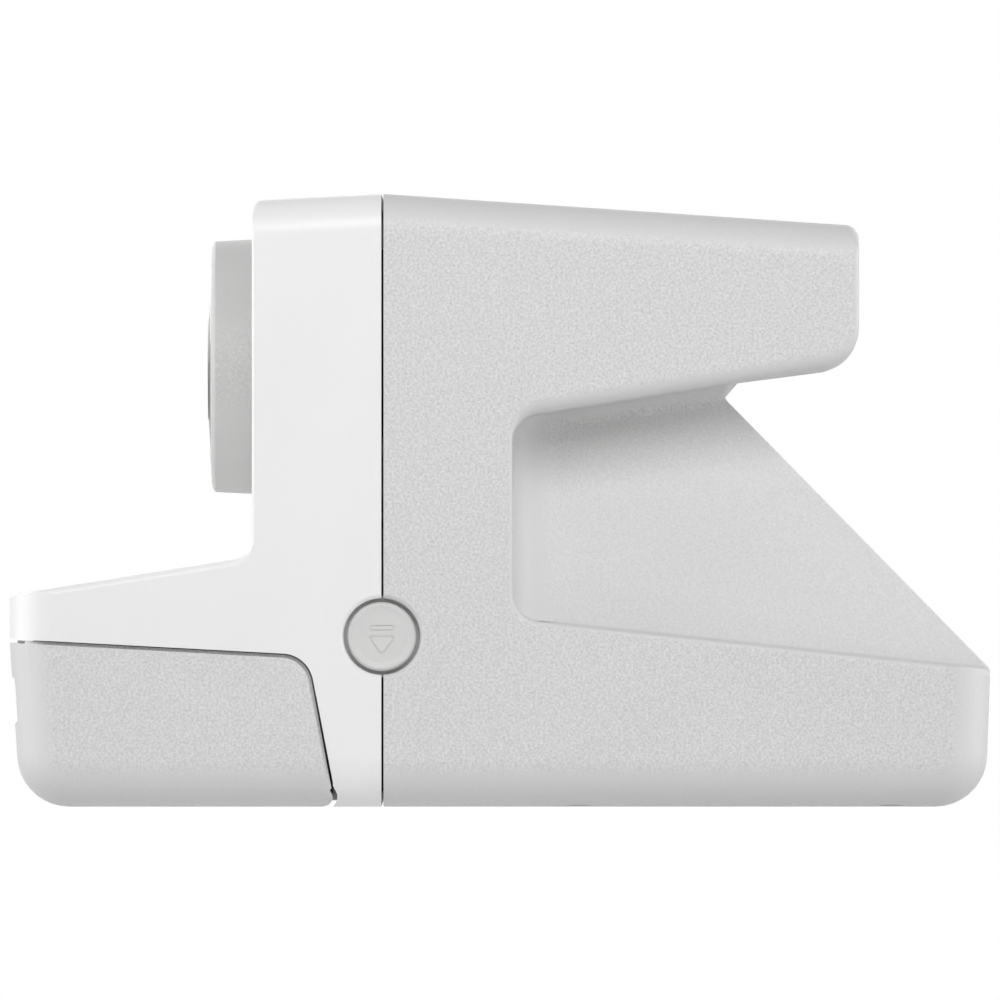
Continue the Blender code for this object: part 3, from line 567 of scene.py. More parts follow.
def section(outline, insets):
    """Side outline of a cover, each stretch moved inwards by its own inset.

    outline holds (y, z, radius), going round with the inside on the left. The result holds
    (y, z, place): place counts the stretches, and a corner's points fall between two of them.
    A straight corner spreads its points along the stretch, and steps softly between two insets.
    """
    sharp = [Vector(c[:2]) for c in outline]
    last = len(sharp) - 1
    ends = []
    for at, other, inset in ((0, 1, insets[0]), (last, last - 1, insets[-1])):
        run = sharp[other] - sharp[at]
        normal = Vector((-run.y, run.x)).normalized() * (1 if at == 0 else -1)
        base = sharp[at] + normal * inset
        ends.append(base - run * ((base.x - sharp[at].x) / run.x))
    moved = [ends[0]]
    for i in range(1, last):
        moved.append(moved_corner(sharp[i - 1], sharp[i], sharp[i + 1], insets[i - 1], insets[i]))
    moved.append(ends[1])
    points = [(*moved[0], 0.0)]
    for i in range(1, last):
        turn = (sharp[i] - sharp[i - 1]).normalized().cross((sharp[i + 1] - sharp[i]).normalized())
        if abs(turn) < 1e-3:
            run = (sharp[i + 1] - sharp[i]).normalized()
            normal = Vector((-run.y, run.x))
            arc = []
            for k in range(CORNER_STEPS + 1):
                share = k / CORNER_STEPS
                inset = insets[i - 1] + (insets[i] - insets[i - 1]) * share * share * (3 - 2 * share)
                arc.append(sharp[i] + normal * inset + run * outline[i][2] * (2 * share - 1))
        else:
            radius = outline[i][2] - math.copysign((insets[i - 1] + insets[i]) / 2, turn)
            arc = arc_points(moved[i - 1], moved[i], moved[i + 1], max(radius, 0.25), CORNER_STEPS)
        points += [(*p, i - 1 + k / CORNER_STEPS) for k, p in enumerate(arc)]
    points.append((*moved[last], last - 1.0))
    return points


def at_place(values, place):
    """Value for a point of a section, blended in the corners."""
    first = int(place)
    share = place - first
    return values[first] * (1 - share) + values[min(first + 1, len(values) - 1)] * share


# Depths below the side face where the rounding of a case edge is drawn, deepest first.
EDGE_DEPTHS = (7.6, 6.2, 4.9, 3.8, 2.9, 2.1, 1.5, 1.05, 0.7, 0.42, 0.22, 0.1, 0.03, 0.0)

# Rounding of the side edge along each stretch of a cover's outline.
FRONT_EDGES = (5.4, 0.6, 1.1, 7.0, 7.0, 7.6)
REAR_EDGES = (7.6, 7.0, 0.8, 0.65, 2.6, 2.6, 1.0, 5.4)


def edge_columns(outline, edges, wall):
    """Sections from the flat of the case, round its side edge, to the side face."""
    radii = [max(edge - wall, 0.4) for edge in edges]
    deepest = max(edges)
    columns = []
    for depth in EDGE_DEPTHS:
        inward = depth * (1 - wall / deepest)
        insets = [wall + r - math.sqrt(r * r - max(r - inward, 0) ** 2) for r in radii]
        x = HALF_W - wall - inward
        columns.append([(x, y, z) for y, z, _ in section(outline, insets)])
    return columns


def quad(shape, a, b, c, d):
    """A face, split along its shorter diagonal where it isn't flat."""
    normal = (b.co - a.co).cross(c.co - a.co)
    if normal.length < 1e-12 or abs((d.co - a.co).dot(normal.normalized())) < 1e-3:
        shape.faces.new((a, b, c, d))
    elif (a.co - c.co).length <= (b.co - d.co).length:
        shape.faces.new((a, b, c))
        shape.faces.new((a, c, d))
    else:
        shape.faces.new((a, b, d))
        shape.faces.new((b, c, d))


def whole(half):
    """Both halves of a cover, from the sections of one."""
    return [[(-x, y, z) for x, y, z in column] for column in reversed(half)] + half


def cup(columns_for):
    """A closed shell: outer and inner skins, joined round the open seam by a rounded lip.

    columns_for(wall, back) gives the half sections, where back shortens them at the seam.
    """
    shape = bmesh.new()
    rims = []
    for wall, back in ((0.0, LIP), (WALL, 0.0)):
        columns = [[shape.verts.new(p) for p in column] for column in whole(columns_for(wall, back))]
        for a, b in zip(columns, columns[1:]):
            for i in range(len(a) - 1):
                quad(shape, a[i], a[i + 1], b[i + 1], b[i])
        shape.faces.new(columns[0])
        shape.faces.new(reversed(columns[-1]))
        rims.append([c[0] for c in columns] + [c[-1] for c in reversed(columns)])
    for inset, back in LIP_ROWS[1:]:
        points = whole(columns_for(inset, back))
        row = [c[0] for c in points] + [c[-1] for c in reversed(points)]
        rims.insert(len(rims) - 1, [shape.verts.new(p) for p in row])
    for outer, inner in zip(rims, rims[1:]):
        for i in range(len(outer)):
            j = (i + 1) % len(outer)
            shape.faces.new((outer[i], outer[j], inner[j], inner[i]))
    return shape


def front_columns(wall, back):
    """Front half of the case: top, front panel, chin, front and bottom."""
    seam = SEAM_Y - SEAM_GAP / 2 - back
    fall = 0.05 * back       # the top falls a little towards the front
    outline = [
        (seam, TOP_Z - fall, 0), (PANEL_Y, PANEL_TOP_Z, 1.5), (PANEL_Y, CHIN_TOP_Z, 3.5),
        (FRONT_Y, CHIN_NOSE_Z, 0.8), (FRONT_Y, DOOR_FRONT_Z, 0.1), (FRONT_Y + DOOR_DRAFT, 0, 8.0),
        (seam, 0, 0),
    ]
    return edge_columns(outline, FRONT_EDGES, wall)


def recess_floor(z, wall):
    """Half-width of the recess floor, which leans inwards as it rises."""
    lean = RECESS_LEAN * (z - RECESS_LEAN_FROM_Z)
    return RECESS_FLOOR_X - lean - wall * math.hypot(1, RECESS_LEAN)


def on_roof(y):
    """Height of the upper block's underside."""
    slope = (BLOCK_LOW_Z - RECESS_TOP_Z) / (BLOCK_REAR_Y - RECESS_Y)
    return RECESS_TOP_Z + slope * (y - RECESS_Y)


def rear_columns(wall, back):
    """Rear half of the case, with the hand recess cut into each side.

    The middle sections follow the sloping back panel. The outer ones run round the recess,
    whose floor joins the two.
    """
    seam = SEAM_Y + SEAM_GAP / 2 + back
    top = TOP_Z - back * (TOP_Z - BLOCK_REAR_Z) / (BLOCK_REAR_Y - SEAM_Y)
    run = Vector(SLOPE_TOP) - Vector(SLOPE_LOW)
    knee = Vector(SLOPE_LOW) + run.normalized() * 3.0
    base = [(seam, 0, 0), (REAR_Y - 0.75, 0, 8.0)]
    block = [(BLOCK_REAR_Y, BLOCK_LOW_Z, 6.4), (BLOCK_REAR_Y, BLOCK_REAR_Z, 2.2), (seam, top, 0)]
    peak = (SLOPE_TOP[0], on_roof(SLOPE_TOP[0]) - 0.05)
    slope = [(*SLOPE_LOW, 1.5), (*knee, 0.6), (*peak, 1.7),
             (SLOPE_ROOF_Y, on_roof(SLOPE_ROOF_Y), 0.9)]
    recess = [(*SLOPE_LOW, 1.5), (RECESS_Y, RECESS_LOW_Z, 4.6), (RECESS_Y, RECESS_TOP_Z, 4.6),
              (RECESS_ROOF_Y, on_roof(RECESS_ROOF_Y), 2.2)]
    columns = []

    # In both outlines, stretches 1 to 4 are the sloping back or the recess.
    centre = []
    for y, z, place in section(base + slope + block, [wall] * len(REAR_EDGES)):
        x = MIDDLE_X
        if 1.0 < place <= 2.0:
            x = recess_floor(z, wall) - 0.02
        elif 2.0 < place <= 4.0:
            x = recess_floor(z, wall)
        centre.append((x, y, z))
    columns.append(centre)

    # Quarter turns lift the recess floor into its walls, with a radius for each stretch.
    soft = [0, 0, 0.5, RECESS_WALL_R, RECESS_ROOF_R, 0, 0, 0]
    for step in range(INNER_STEPS + 1):
        turn = math.radians(90) * step / INNER_STEPS
        insets = [wall - (r + wall) * (1 - math.sin(turn)) if r else wall for r in soft]
        rises = [(r + wall) * (1 - math.cos(turn)) for r in soft]
        column = []
        for y, z, place in section(base + recess + block, insets):
            x = recess_floor(z, wall) + at_place(rises, place)
            fan = FAN_X + FAN_STEP * step
            if place <= 1.0 or place > 4.5:
                x = fan
            elif place > 4.0:
                share = (place - 4.0) * 2
                x = x * (1 - share) + fan * share
            column.append((x, y, z))
        columns.append(column)

    # The side edge's sections stay outside the recess's own, so that the skin never folds.
    inner = [point[0] for point in columns[-1]]
    for step, column in enumerate(edge_columns(base + recess + block, REAR_EDGES, wall)):
        margin = 0.03 * (step + 1)
        columns.append([(max(x, low + margin), y, z) for low, (x, y, z) in zip(inner, column)])
    return columns


def door_outline(gap, grow=0.0):
    """Side outline of everything below the parting line, moved outwards by gap and grow."""
    corner = Vector((DOOR_REAR[0] + gap + grow, DOOR_REAR[1] + gap + grow))
    front = Vector((AHEAD_Y, DOOR_FRONT_Z + 0.8 + gap + grow))
    arc_r = (HINGE_SWEEP_R if gap > 0 else HINGE_R) + min(grow, HINGE_LIP)
    first, last, steps = 40, -90, 16
    arc = []
    for i in range(steps + 1):
        turn = math.radians(first + (last - first) * i / steps)
        arc.append((HINGE.y + arc_r * math.cos(turn), HINGE.z + arc_r * math.sin(turn)))
    bend = arc_points(front, corner, Vector(arc[0]), DOOR_CORNER_R + gap + grow, 12)
    below = [(HINGE.y, BELOW_Z), (AHEAD_Y, BELOW_Z)]
    return [tuple(front)] + [tuple(p) for p in bend] + arc + below


def door_cutter(gap, chamfer, lip=0.0):
    """Everything below the parting line; on the side faces the cut has softened edges.

    lip is the height of a thin rib that closes the gap a little under the side faces.
    """
    rows = [(HALF_W + 2, chamfer), (HALF_W, chamfer), (HALF_W - 0.4 * abs(chamfer), 0.3 * chamfer),
            (HALF_W - abs(chamfer), 0.0)]
    if lip:
        outer, inner = (HALF_W - depth for depth in DOOR_LIP_DEPTH)
        rows += [(outer, 0.0), (outer - 0.05, lip), (inner + 0.05, lip), (inner, 0.0)]
    half = [(x, door_outline(gap, grow)) for x, grow in rows]
    across = [(-x, outline) for x, outline in half] + half[::-1]
    return loft([outline for _, outline in across], "X", [x for x, _ in across])


def knuckle_span(side, margin):
    return sorted((side * (KNUCKLE_X[0] - margin), side * (KNUCKLE_X[1] + margin)))


def hinge_rod(radius, low, high, steps=32):
    """A round bar on the door's hinge line."""
    profile = [(0, low), (radius, low), (radius, high), (0, high)]
    return turned(profile, "X", (HINGE.y, HINGE.z), steps)


def centre_xz(node):
    place = middle(node)
    return (place.x, place.z)


def build_front_shell():
    shell = raw_object("front_shell", cup(front_columns))
    boolean(shell, [door_cutter(DOOR_SEAM_GAP, DOOR_SEAM_EDGE)])
    for side in (-1, 1):
        low, high = knuckle_span(side, 0)
        web = box((low + 0.1, HINGE.y + 0.6, 0.8), (high - 0.1, HINGE.y + 3.0, 1.9))
        boolean(shell, [hinge_rod(HINGE_R, low, high)], "UNION")
        boolean(shell, [web], "UNION")
    mouth, depth = PANEL_Y, WALL + 1.5
    bore_x = KNUCKLE_X[1] + 2
    holes = [
        hinge_rod(HINGE_BORE_R, -bore_x, bore_x),
        round_hole((0, LENS_Z), corners("lens_barrel")[1].x + 0.3, "Y", mouth, depth),
        window_hole(centre_xz("flash_window"), 24, 15, 2.5, "Y", mouth, depth),
        window_hole(centre_xz("viewfinder_window"), 16, 12, 2.5, "Y", mouth, depth),
        window_hole(centre_xz("sensor_window"), 12, 6, 2.9, "Y", mouth, depth),
        round_hole(centre_xz("shutter_button"), 6.5, "Y", mouth, depth, 0.5),
        round_hole(centre_xz("timer_button"), 3.8, "Y", mouth, depth),
        release_cutter(),
    ]
    boolean(shell, holes)
    finish_piece(shell, "white_shell", "case", ["front_cover"])


def release_cutter():
    """The round opening for the release button, across the seam of the two covers."""
    return round_hole((SEAM_Y - 0.1, RELEASE.z), RELEASE_HOLE_R, "X", HALF_W, -6, 0.6, 96)


def build_rear_shell():
    shell = raw_object("rear_shell", cup(rear_columns))
    mouth, depth = BLOCK_REAR_Y, -(WALL + 1.5)
    side = -HALF_W
    usb = middle("charging_socket")
    light = middle("status_light")
    holes = [
        release_cutter(),
        window_hole(centre_xz("eyepiece_lens"), 17, 12, 3, "Y", mouth, depth, 0.5),
        window_hole(centre_xz("counter_window"), 12, 8, 1.5, "Y", mouth, depth),
        round_hole(centre_xz("power_button"), 3.5, "Y", mouth, depth),
        round_hole(centre_xz("flash_button"), 3.5, "Y", mouth, depth),
        window_hole((usb.y, usb.z), 9.2, 3.6, 1.7, "X", side, 5),
        round_hole((light.y, light.z), 1.3, "X", side, 5, 0.2, 32),
    ]
    boolean(shell, holes)
    screws = []
    for node in SCREWS:
        place = middle(node)
        profile = [(0, -1), (3.1, -1), (2.8, 0.25), (2.8, 1.1), (1.5, 1.1), (1.5, 4), (0, 4)]
        screws.append(turned(profile, "Z", (place.x, place.y), 40))
    boolean(shell, screws)
    finish_piece(shell, "grey_shell", "case", ["rear_cover"])


def build_door():
    door = raw_object("door_shell", cup(front_columns))
    boolean(door, [door_cutter(-DOOR_GAP, -DOOR_SEAM_EDGE, DOOR_LIP)], "INTERSECT")
    boolean(door, [hinge_rod(HINGE_R - 0.05, -HINGE_BEAD_X, HINGE_BEAD_X, 36)], "UNION")
    bore_x = HINGE_BEAD_X + 1
    boolean(door, [hinge_rod(HINGE_BORE_R, -bore_x, bore_x)])
    for side in (-1, 1):
        low, high = knuckle_span(side, KNUCKLE_GAP)
        boolean(door, [hinge_rod(HINGE_R + KNUCKLE_GAP, low, high)])
        boolean(door, [box((low, HINGE.y, -1), (high, HINGE.y + 4, 5))])
    film_slot = rounded_rectangle((0, 30.0), 91, 14.8, 1.2)
    boolean(door, [prism(film_slot, "Y", FRONT_Y - 3, FRONT_Y + 6)])
    boolean(door, [front_band()])
    finish_piece(door, "grey_shell", "door", ["film_door"])


def front_band():
    """A cutter for the shallow level band across the door's front, with soft edges."""
    low, high, depth = 12.6, 20.0, 0.45
    draft = DOOR_DRAFT / DOOR_FRONT_Z
    rows = [(low, 0.0), (12.8, 0.25), (13.1, 0.9), (13.6, 1.0), (19.0, 1.0), (19.5, 0.9),
            (19.8, 0.25), (high, 0.0)]
    outline = [(FRONT_Y + (DOOR_FRONT_Z - z) * draft + depth * share, z) for z, share in rows]
    outline += [(FRONT_Y - 5, high), (FRONT_Y - 5, low)]
    return prism(outline, "X", -HALF_W - 4, HALF_W + 4)


# ---- Keys and the door release ----

def key_cap(radius, face, back, outward, edge, dish):
    """Turned profile of a round key with a soft edge and a dished face.

    outward is 1 or -1, the way the key faces, and a flange behind the wall holds it in.
    """
    flange_r, flange_back = radius + 1.0, back - outward * 1.0
    points = [(0, face - outward * dish, 0), (radius * 0.45, face - outward * dish * 0.8, 0),
              (radius * 0.8, face - outward * dish * 0.15, 0), (radius, face, edge),
              (radius, back, 0), (flange_r, back, 0.1), (flange_r, flange_back, 0),
              (0, flange_back, 0)]
    return soft_profile(points)


def release_bar(centre, inset):
    """The bar of the release sign, moved in by inset all round."""
    rise, width, height = 1.3, 3.75 - 2 * inset, 0.86 - 2 * inset
    return rounded_rectangle((centre[0], centre[1] + rise), width, height, 0.49 * height)


def release_arrow(centre, inset):
    """The triangle of the release sign, point down, moved in by inset all round."""
    half_width = 2.25 - 1.95 * inset
    tip = Vector((centre[0], centre[1] - 3.0 + 1.71 * inset))
    left = Vector((centre[0] - half_width, centre[1] + 0.12 - inset))
    right = Vector((centre[0] + half_width, left.y))
    points = []
    for before, corner, after, rounding in ((tip, left, right, 0.32), (left, right, tip, 0.32),
                                            (right, tip, left, 0.45)):
        points += [tuple(p) for p in arc_points(before, corner, after, rounding, 6)]
    return points


def build_release():
    """The release button: a dished cap with a raised rim and an outlined sign, on a stem."""
    low, high = corners("door_release_button")
    face = high.x
    floor = face - 0.2
    centre = (RELEASE.y, RELEASE.z)
    radius = RELEASE_CAP_R
    back = HALF_W - WALL - 0.3
    flange_r, flange_back = radius + 1.0, back - 1.0
    stem_r = 2.0
    points = [(0, floor - 0.02, 0), (radius - 1.3, floor, 1.5), (radius - 0.35, face, 0.25),
              (radius, face - 0.45, 0.3), (radius, back, 0), (flange_r, back, 0),
              (flange_r, flange_back, 0), (stem_r, flange_back, 0), (stem_r, low.x, 0.3),
              (0, low.x, 0)]
    cap = raw_object("release_cap", turned(soft_profile(points), "X", centre, 128))
    for sign in (release_bar, release_arrow):
        boolean(cap, [prism(sign(centre, 0.0), "X", floor - SIGN_DEPTH, floor + 0.5)])
        boolean(cap, [prism(sign(centre, SIGN_LINE), "X", floor - 0.4, floor - 0.01)], "UNION")
    finish_piece(cap, "trim_grey", "release", ["door_release_button"])


def build_keys():
    """The front keys face -Y (outward is -1), and the rear ones +Y."""
    for name, slot, outward, radius, edge, dish in (
        ("shutter", "button_red", -1, 6.2, 0.9, 0.45),
        ("timer", "trim_grey", -1, 3.5, 0.6, 0.2),
        ("power", "trim_grey", 1, 3.2, 0.5, 0.15),
        ("flash", "trim_grey", 1, 3.2, 0.5, 0.15),
    ):
        node = f"{name}_button"
        low, high = corners(node)
        face, wall_y = (low.y, PANEL_Y) if outward < 0 else (high.y, BLOCK_REAR_Y)
        back = wall_y - outward * WALL - outward * 0.3
        shape = turned(key_cap(radius, face, back, outward, edge, dish), "Y", centre_xz(node))
        finish_piece(raw_object(f"{name}_cap", shape), slot, f"{name}_key", [node])


# ---- Lens, windows and flash ----

def dome(radius):
    """Y of the shallow dome that the lens, bezel and ring share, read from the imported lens."""
    crown = corners("front_lens")[0].y
    edge = corners("lens_bezel")[0].y
    return crown + (edge - crown) * (radius / BEZEL_HOLE_R) ** 2


def build_ring():
    """The grey ring, with its face on the dome and a wide soft turn into its side."""
    inner = corners("lens_bezel")[1].x + 0.25
    side_r, turn_r, turn_depth = RING_R - 0.27, 1.88, 0.8
    edge = []
    for i in range(13):
        turn = math.radians(7.5 * i)
        edge.append((side_r - turn_r * (1 - math.cos(turn)),
                     dome(RING_EDGE_R) + turn_depth * (1 - math.sin(turn)), 0))
    profile = [(inner, RING_HIGH.y, 0), (RING_R, RING_HIGH.y, 0.2)] + edge
    profile += [(inner + 0.25, dome(inner + 0.25), 0.12), (inner, dome(inner) + 0.4, 0)]
    ring = raw_object("ring_trim", turned(soft_profile(profile, 4), "Y", (0, LENS_Z), 160))
    finish_piece(ring, "trim_grey", "case", ["lens_ring"], "ring_grey")


def build_bezel(hole_r):
    """The black bezel: fine steps sink towards the glass, between flat lands on the dome."""
    high = corners("lens_bezel")[1]
    outer, back = high.x, high.y
    profile = [(hole_r, back, 0), (outer, back, 0), (outer, dome(outer) + 0.15, 0.12),
               (outer - 1.4, dome(outer - 1.4), 0.1)]
    radius = outer - 1.5
    soft = 0.08
    for _ in range(6):
        at = dome(radius)
        profile += [(radius, at + 0.45, soft), (radius - 0.5, at + 0.5, soft),
                    (radius - 0.55, at + 0.08, soft), (radius - 0.95, at + 0.06, soft)]
        radius -= 1.05
    at = dome(hole_r)
    profile += [(hole_r + 0.9, at, 0.15), (hole_r + 0.25, at + 0.08, 0.15), (hole_r, at + 0.9, 0)]
    bezel = raw_object("bezel_face", turned(soft_profile(profile, 2), "Y", (0, LENS_Z), 128))
    finish_piece(bezel, "black_plastic", "case", ["lens_bezel"], "bezel_black")


def build_lens():
    glass_r, back = corners("front_lens")[1].xy
    gap = 0.25
    build_ring()
    build_bezel(glass_r + gap)
    rows = 10
    profile = []
    for i in range(rows + 1):
        radius = glass_r * i / rows
        profile.append((radius, dome(radius) + 0.25 * (radius / glass_r) ** 2))
    profile += [(glass_r, back), (0, back)]
    glass = raw_object("lens_glass", turned(profile, "Y", (0, LENS_Z), 96))
    finish_piece(glass, "dark_window", "case", ["front_lens"])


def window_pane(node, radius, face, back):
    """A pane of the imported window's width and height."""
    low, high = corners(node)
    return pane(centre_xz(node), high.x - low.x, high.z - low.z, radius, "Y", face, back)


def build_windows():
    front = PANEL_Y + 0.2
    for name, node, radius, outward in (("finder_pane", "viewfinder_window", 2.3, -1),
                                        ("sensor_pane", "sensor_window", 2.6, -1),
                                        ("eyepiece_pane", "eyepiece_lens", 2.7, 1),
                                        ("counter_pane", "counter_window", 1.3, 1)):
        low, high = corners(node)
        face, back = (front, high.y) if outward < 0 else (high.y, low.y)
        shape = window_pane(node, radius, face, back)
        finish_piece(raw_object(name, shape), "dark_window", "case", [node])


def build_flash():
    """The flash window, whose back has level prism grooves."""
    low, high = corners("flash_window")
    flash = raw_object("flash_pane", window_pane("flash_window", 2.3, PANEL_Y + 0.2, high.y))
    pitch = 1.25
    half = pitch * 0.45
    depth = 0.45
    past = 0.3
    margin = 1.2
    grooves = []
    z = low.z + 1.6
    while z < high.z - margin:
        outline = [(high.y + past, z - half), (high.y - depth, z), (high.y + past, z + half)]
        grooves.append(prism(outline, "X", low.x + margin, high.x - margin))
        z += pitch
    boolean(flash, grooves)
    finish_piece(flash, "clear_window", "case", ["flash_window"])


# ---- Screws, socket and rollers ----

def build_screws():
    """Base screws with a domed head, a cross recess and a plain shank."""
    head_r, shank_r, head_depth = 2.4, 1.2, 0.8
    cross_reach, cross_half, cross_depth, cross_turn = 1.35, 0.26, 0.55, 25
    for node in SCREWS:
        low, high = corners(node)
        place = (middle(node).x, middle(node).y)
        under = low.z + head_depth
        profile = soft_profile([(0, low.z, 0), (head_r, low.z + 0.12, 0.15), (head_r, under, 0.05),
                                (shank_r, under, 0), (shank_r, high.z, 0.2), (0, high.z, 0)], 3)
        screw = raw_object(f"{node}_head", turned(profile, "Z", place, 48))
        for turn in (0, 90):
            arm = box((-cross_reach, -cross_half, low.z - 1),
                      (cross_reach, cross_half, low.z + cross_depth))
            bmesh.ops.rotate(arm, verts=arm.verts, cent=(0, 0, 0),
                             matrix=Matrix.Rotation(math.radians(turn + cross_turn), 3, "Z"))
            bmesh.ops.translate(arm, verts=arm.verts, vec=(*place, 0))
            boolean(screw, [arm])
        finish_piece(screw, "steel", "case", [node])


def build_socket():
    """The charging socket: a steel shell with an opening, and a black tongue inside."""
    low, high = corners("charging_socket")
    place = middle("charging_socket")
    centre = (place.y, place.z)
    width, height = high.y - low.y, high.z - low.z
    shape = pane(centre, width, height, 1.45, "X", low.x, high.x, 0.2)
    shell = raw_object("socket_shell", shape)
    boolean(shell, [window_hole(centre, width - 0.8, height - 0.8, 1.05, "X", low.x, 6.0, 0.1)])
    finish_piece(shell, "steel", "case", ["charging_socket"])
    tongue = pane(centre, width - 2.4, 0.7, 0.3, "X", low.x + 0.8, high.x - 0.7, 0.12)
    finish_piece(raw_object("socket_tongue", tongue), "black_plastic", "case")


def build_rollers():
    """Steel rollers with turned shoulders, and the fine knurled band at each end of the lower."""
    axle_r, shoulder_x = 1.2, 45.6
    knurl_from_x, knurl_pitch, knurl_depth = 43.5, 0.5, 0.12
    for name, node, knurl in (("film_roller_upper", "upper_roller", False),
                              ("film_roller_lower", "lower_roller", True)):
        low, high = corners(node)
        place = middle(node)
        radius = (high.z - low.z) / 2
        profile = [(0, low.x, 0), (axle_r, low.x, 0.25), (axle_r, -shoulder_x, 0),
                   (radius, -shoulder_x, 0.3)]
        if knurl:
            for side in (-1, 1):
                marks = [side * (knurl_from_x - knurl_pitch * i) for i in range(9)]
                for mark in sorted(marks):
                    floor = radius - knurl_depth
                    profile += [(radius, mark - knurl_pitch / 2, 0), (floor, mark - 0.05, 0),
                                (floor, mark + 0.05, 0)]
        profile += [(radius, shoulder_x, 0.3), (axle_r, shoulder_x, 0), (axle_r, high.x, 0.25),
                    (0, high.x, 0)]
        shape = turned(soft_profile(profile, 3), "X", (place.y, place.z), 64)
        finish_piece(raw_object(name, shape), "steel", node, [node])


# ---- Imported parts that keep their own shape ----

SOFT_EDGE = {
    "roller_frame": 0.25, "film_chamber": 0.25, "dark_chamber": 0.3, "viewfinder_tube": 0.2,
    "lens_barrel": 0.2, "lens_cell": 0.2, "drive_motor": 0.25, "flash_capacitor": 0.5,
    "shutter_plate": 0.1, "shutter_rear_plate": 0.1, "mirror": 0.15, "flash_reflector": 0.1,
    "door_latch": 0.12, "rear_lens": 0.1, "flash_tube": 0.4, "status_light": 0.2,
    "roller_gear": 0.06, "idler_gear": 0.06, "motor_pinion": 0.05, "door_hinge_pin": 0.1,
    "idler_axle": 0.1, "shutter_blade_left": 0.05, "shutter_blade_right": 0.05,
}


def dress_packed_parts():
    """Soft edges, smooth shading and full materials for the parts shown as they are."""
    slots = {row["node"]: row["material_slot"] for row in frame["record"]["subparts"]}
    for name, obj in frame["nodes"].items():
        if obj.hide_render:
            continue
        obj.data.materials.clear()
        obj.data.materials.append(MATERIALS[slots[name]])
        shade(obj)
        if name in SOFT_EDGE:
            bevel = obj.modifiers.new("soft_edge", "BEVEL")
            bevel.width = SOFT_EDGE[name] * MM
            bevel.segments = 2
            bevel.limit_method = "ANGLE"
            bevel.angle_limit = math.radians(40)
            weigh_normals(obj)


# ---- Floor, light and camera ----

def build_floor():
    """A pale floor that reads as plain white paper and still takes a faint shade."""
    reach = 1.6
    drop = -0.06         # the open film door hangs down in front of the base
    glow_strength = 0.8
    mesh = bpy.data.meshes.new("floor")
    mesh.from_pydata([(-reach, -reach, drop), (reach, -reach, drop), (reach, reach, drop),
                      (-reach, reach, drop)], [], [(0, 1, 2, 3)])
    floor = placed("floor", mesh)
    material, tree, shader = new_material("floor_paper", (0.8, 0.8, 0.8), 0.9)
    tree.links.new(ramp(tree, noise(tree, 40.0), 0.85, 0.95), shader.inputs["Roughness"])
    glow = tree.nodes.new("ShaderNodeEmission")
    glow.inputs["Strength"].default_value = glow_strength
    both = tree.nodes.new("ShaderNodeAddShader")
    tree.links.new(shader.outputs["BSDF"], both.inputs[0])
    tree.links.new(glow.outputs["Emission"], both.inputs[1])
    path = tree.nodes.new("ShaderNodeLightPath")
    mix_shaders(tree, path.outputs["Is Camera Ray"], shader.outputs["BSDF"],
                both.outputs["Shader"], tree.nodes["Material Output"])
    mesh.materials.append(material)


def mix_shaders(tree, factor, first, second, output):
    mix = tree.nodes.new("ShaderNodeMixShader")
    tree.links.new(factor, mix.inputs["Fac"])
    tree.links.new(first, mix.inputs[1])
    tree.links.new(second, mix.inputs[2])
    tree.links.new(mix.outputs["Shader"], output.inputs["Surface"])


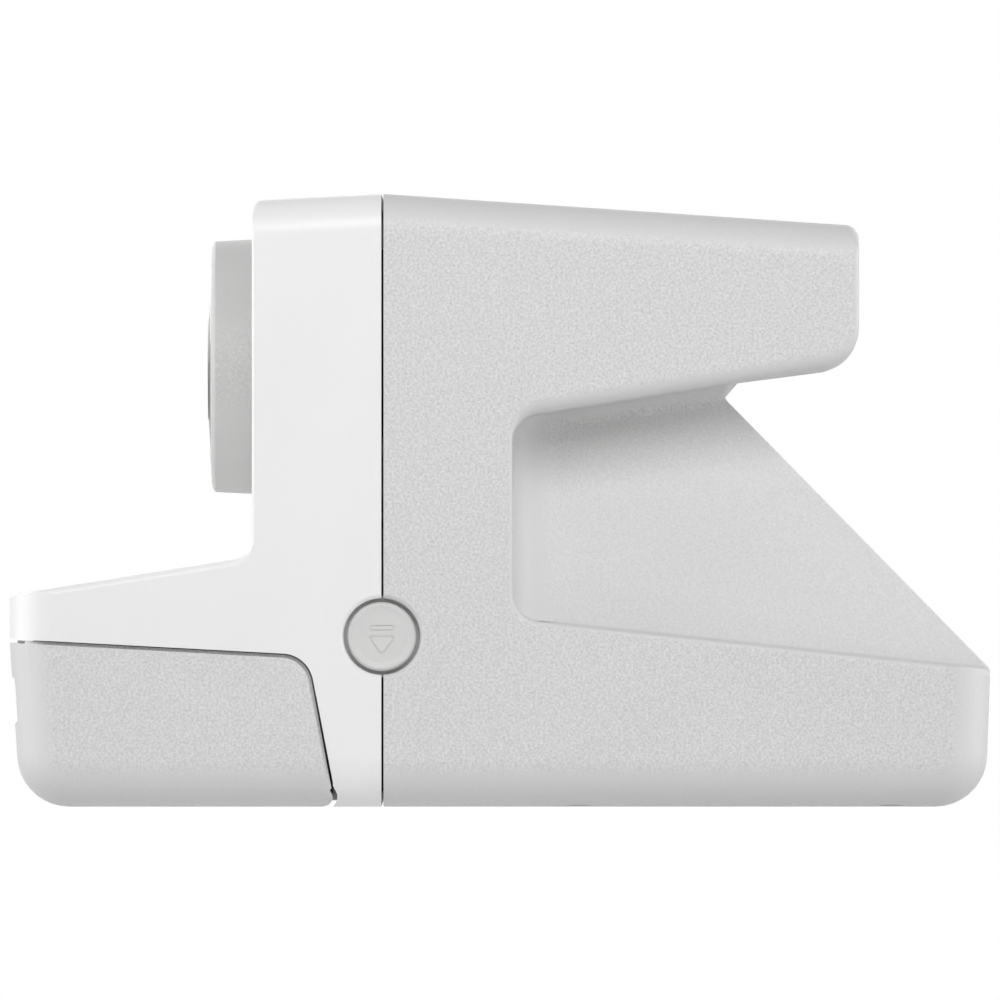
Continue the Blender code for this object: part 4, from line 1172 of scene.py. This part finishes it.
def build_world():
    """Soft light that falls off towards the zenith, against plain white."""
    world = bpy.data.worlds.new("studio")
    world.use_nodes = True
    tree = world.node_tree
    dim = tree.nodes["Background"]
    white = tree.nodes.new("ShaderNodeBackground")
    for node in (dim, white):
        node.inputs["Color"].default_value = (1, 1, 1, 1)
        node.inputs["Strength"].default_value = 1.0
    sky = tree.nodes.new("ShaderNodeTexCoord")
    parts = tree.nodes.new("ShaderNodeSeparateXYZ")
    tree.links.new(sky.outputs["Generated"], parts.inputs["Vector"])
    tree.links.new(ramp(tree, parts.outputs["Z"], 0.45, 0.24, 0.1, 0.7), dim.inputs["Strength"])
    path = tree.nodes.new("ShaderNodeLightPath")
    mirrored = arithmetic(tree, "MULTIPLY", path.outputs["Is Glossy Ray"], 0.7)
    plain = arithmetic(tree, "MAXIMUM", path.outputs["Is Camera Ray"], mirrored)
    mix_shaders(tree, plain, dim.outputs["Background"], white.outputs["Background"],
                tree.nodes["World Output"])
    bpy.context.scene.world = world


def softbox(name, place, width, height, power):
    """A rectangular area light that the camera doesn't see; lengths are in metres."""
    target = Vector((0, 0, 0.05))
    data = bpy.data.lights.new(name, "AREA")
    data.shape = "RECTANGLE"
    data.size = width
    data.size_y = height
    data.energy = power
    light = placed(name, data)
    light.location = place
    light.rotation_mode = "QUATERNION"
    light.rotation_quaternion = (target - Vector(place)).to_track_quat("-Z", "Y")
    light.visible_camera = False


def build_lights():
    """A soft key high on the near side, a strip along each side, and a box before and behind."""
    softbox("near_strip", (0.30, 0.0, 0.17), 1.2, 0.2, 0.1)
    softbox("key", (0.6, 0.04, 0.36), 0.4, 0.3, 1.68)
    softbox("far_strip", (-0.30, 0.0, 0.17), 1.2, 0.2, 0.62)
    softbox("front_box", (0.05, -0.85, 0.32), 0.7, 0.7, 4.0)
    softbox("rear_box", (0.0, 0.9, 0.15), 0.7, 0.7, 4.2)


def build_camera():
    """A long lens, level with the object's middle and square to its side; lengths are in metres."""
    distance = 6.0
    view_width = 0.1538
    view_centre = Vector((0.028, 0.0, 0.047))
    sensor = 36.0
    data = bpy.data.cameras.new("camera")
    data.sensor_width = sensor
    data.lens = sensor * (distance - view_centre.x) / view_width
    data.clip_end = 100.0
    camera = placed("camera", data)
    camera.location = (distance, view_centre.y, view_centre.z)
    camera.rotation_euler = (math.radians(90), 0, math.radians(90))
    bpy.context.scene.camera = camera


def main():
    bpy.context.scene.view_settings.view_transform = "Standard"
    for build in (build_camera, build_front_shell, build_rear_shell, build_door, build_release,
                  build_keys, build_lens, build_windows, build_flash, build_screws, build_socket,
                  build_rollers, dress_packed_parts, build_floor, build_world, build_lights):
        build()


main()
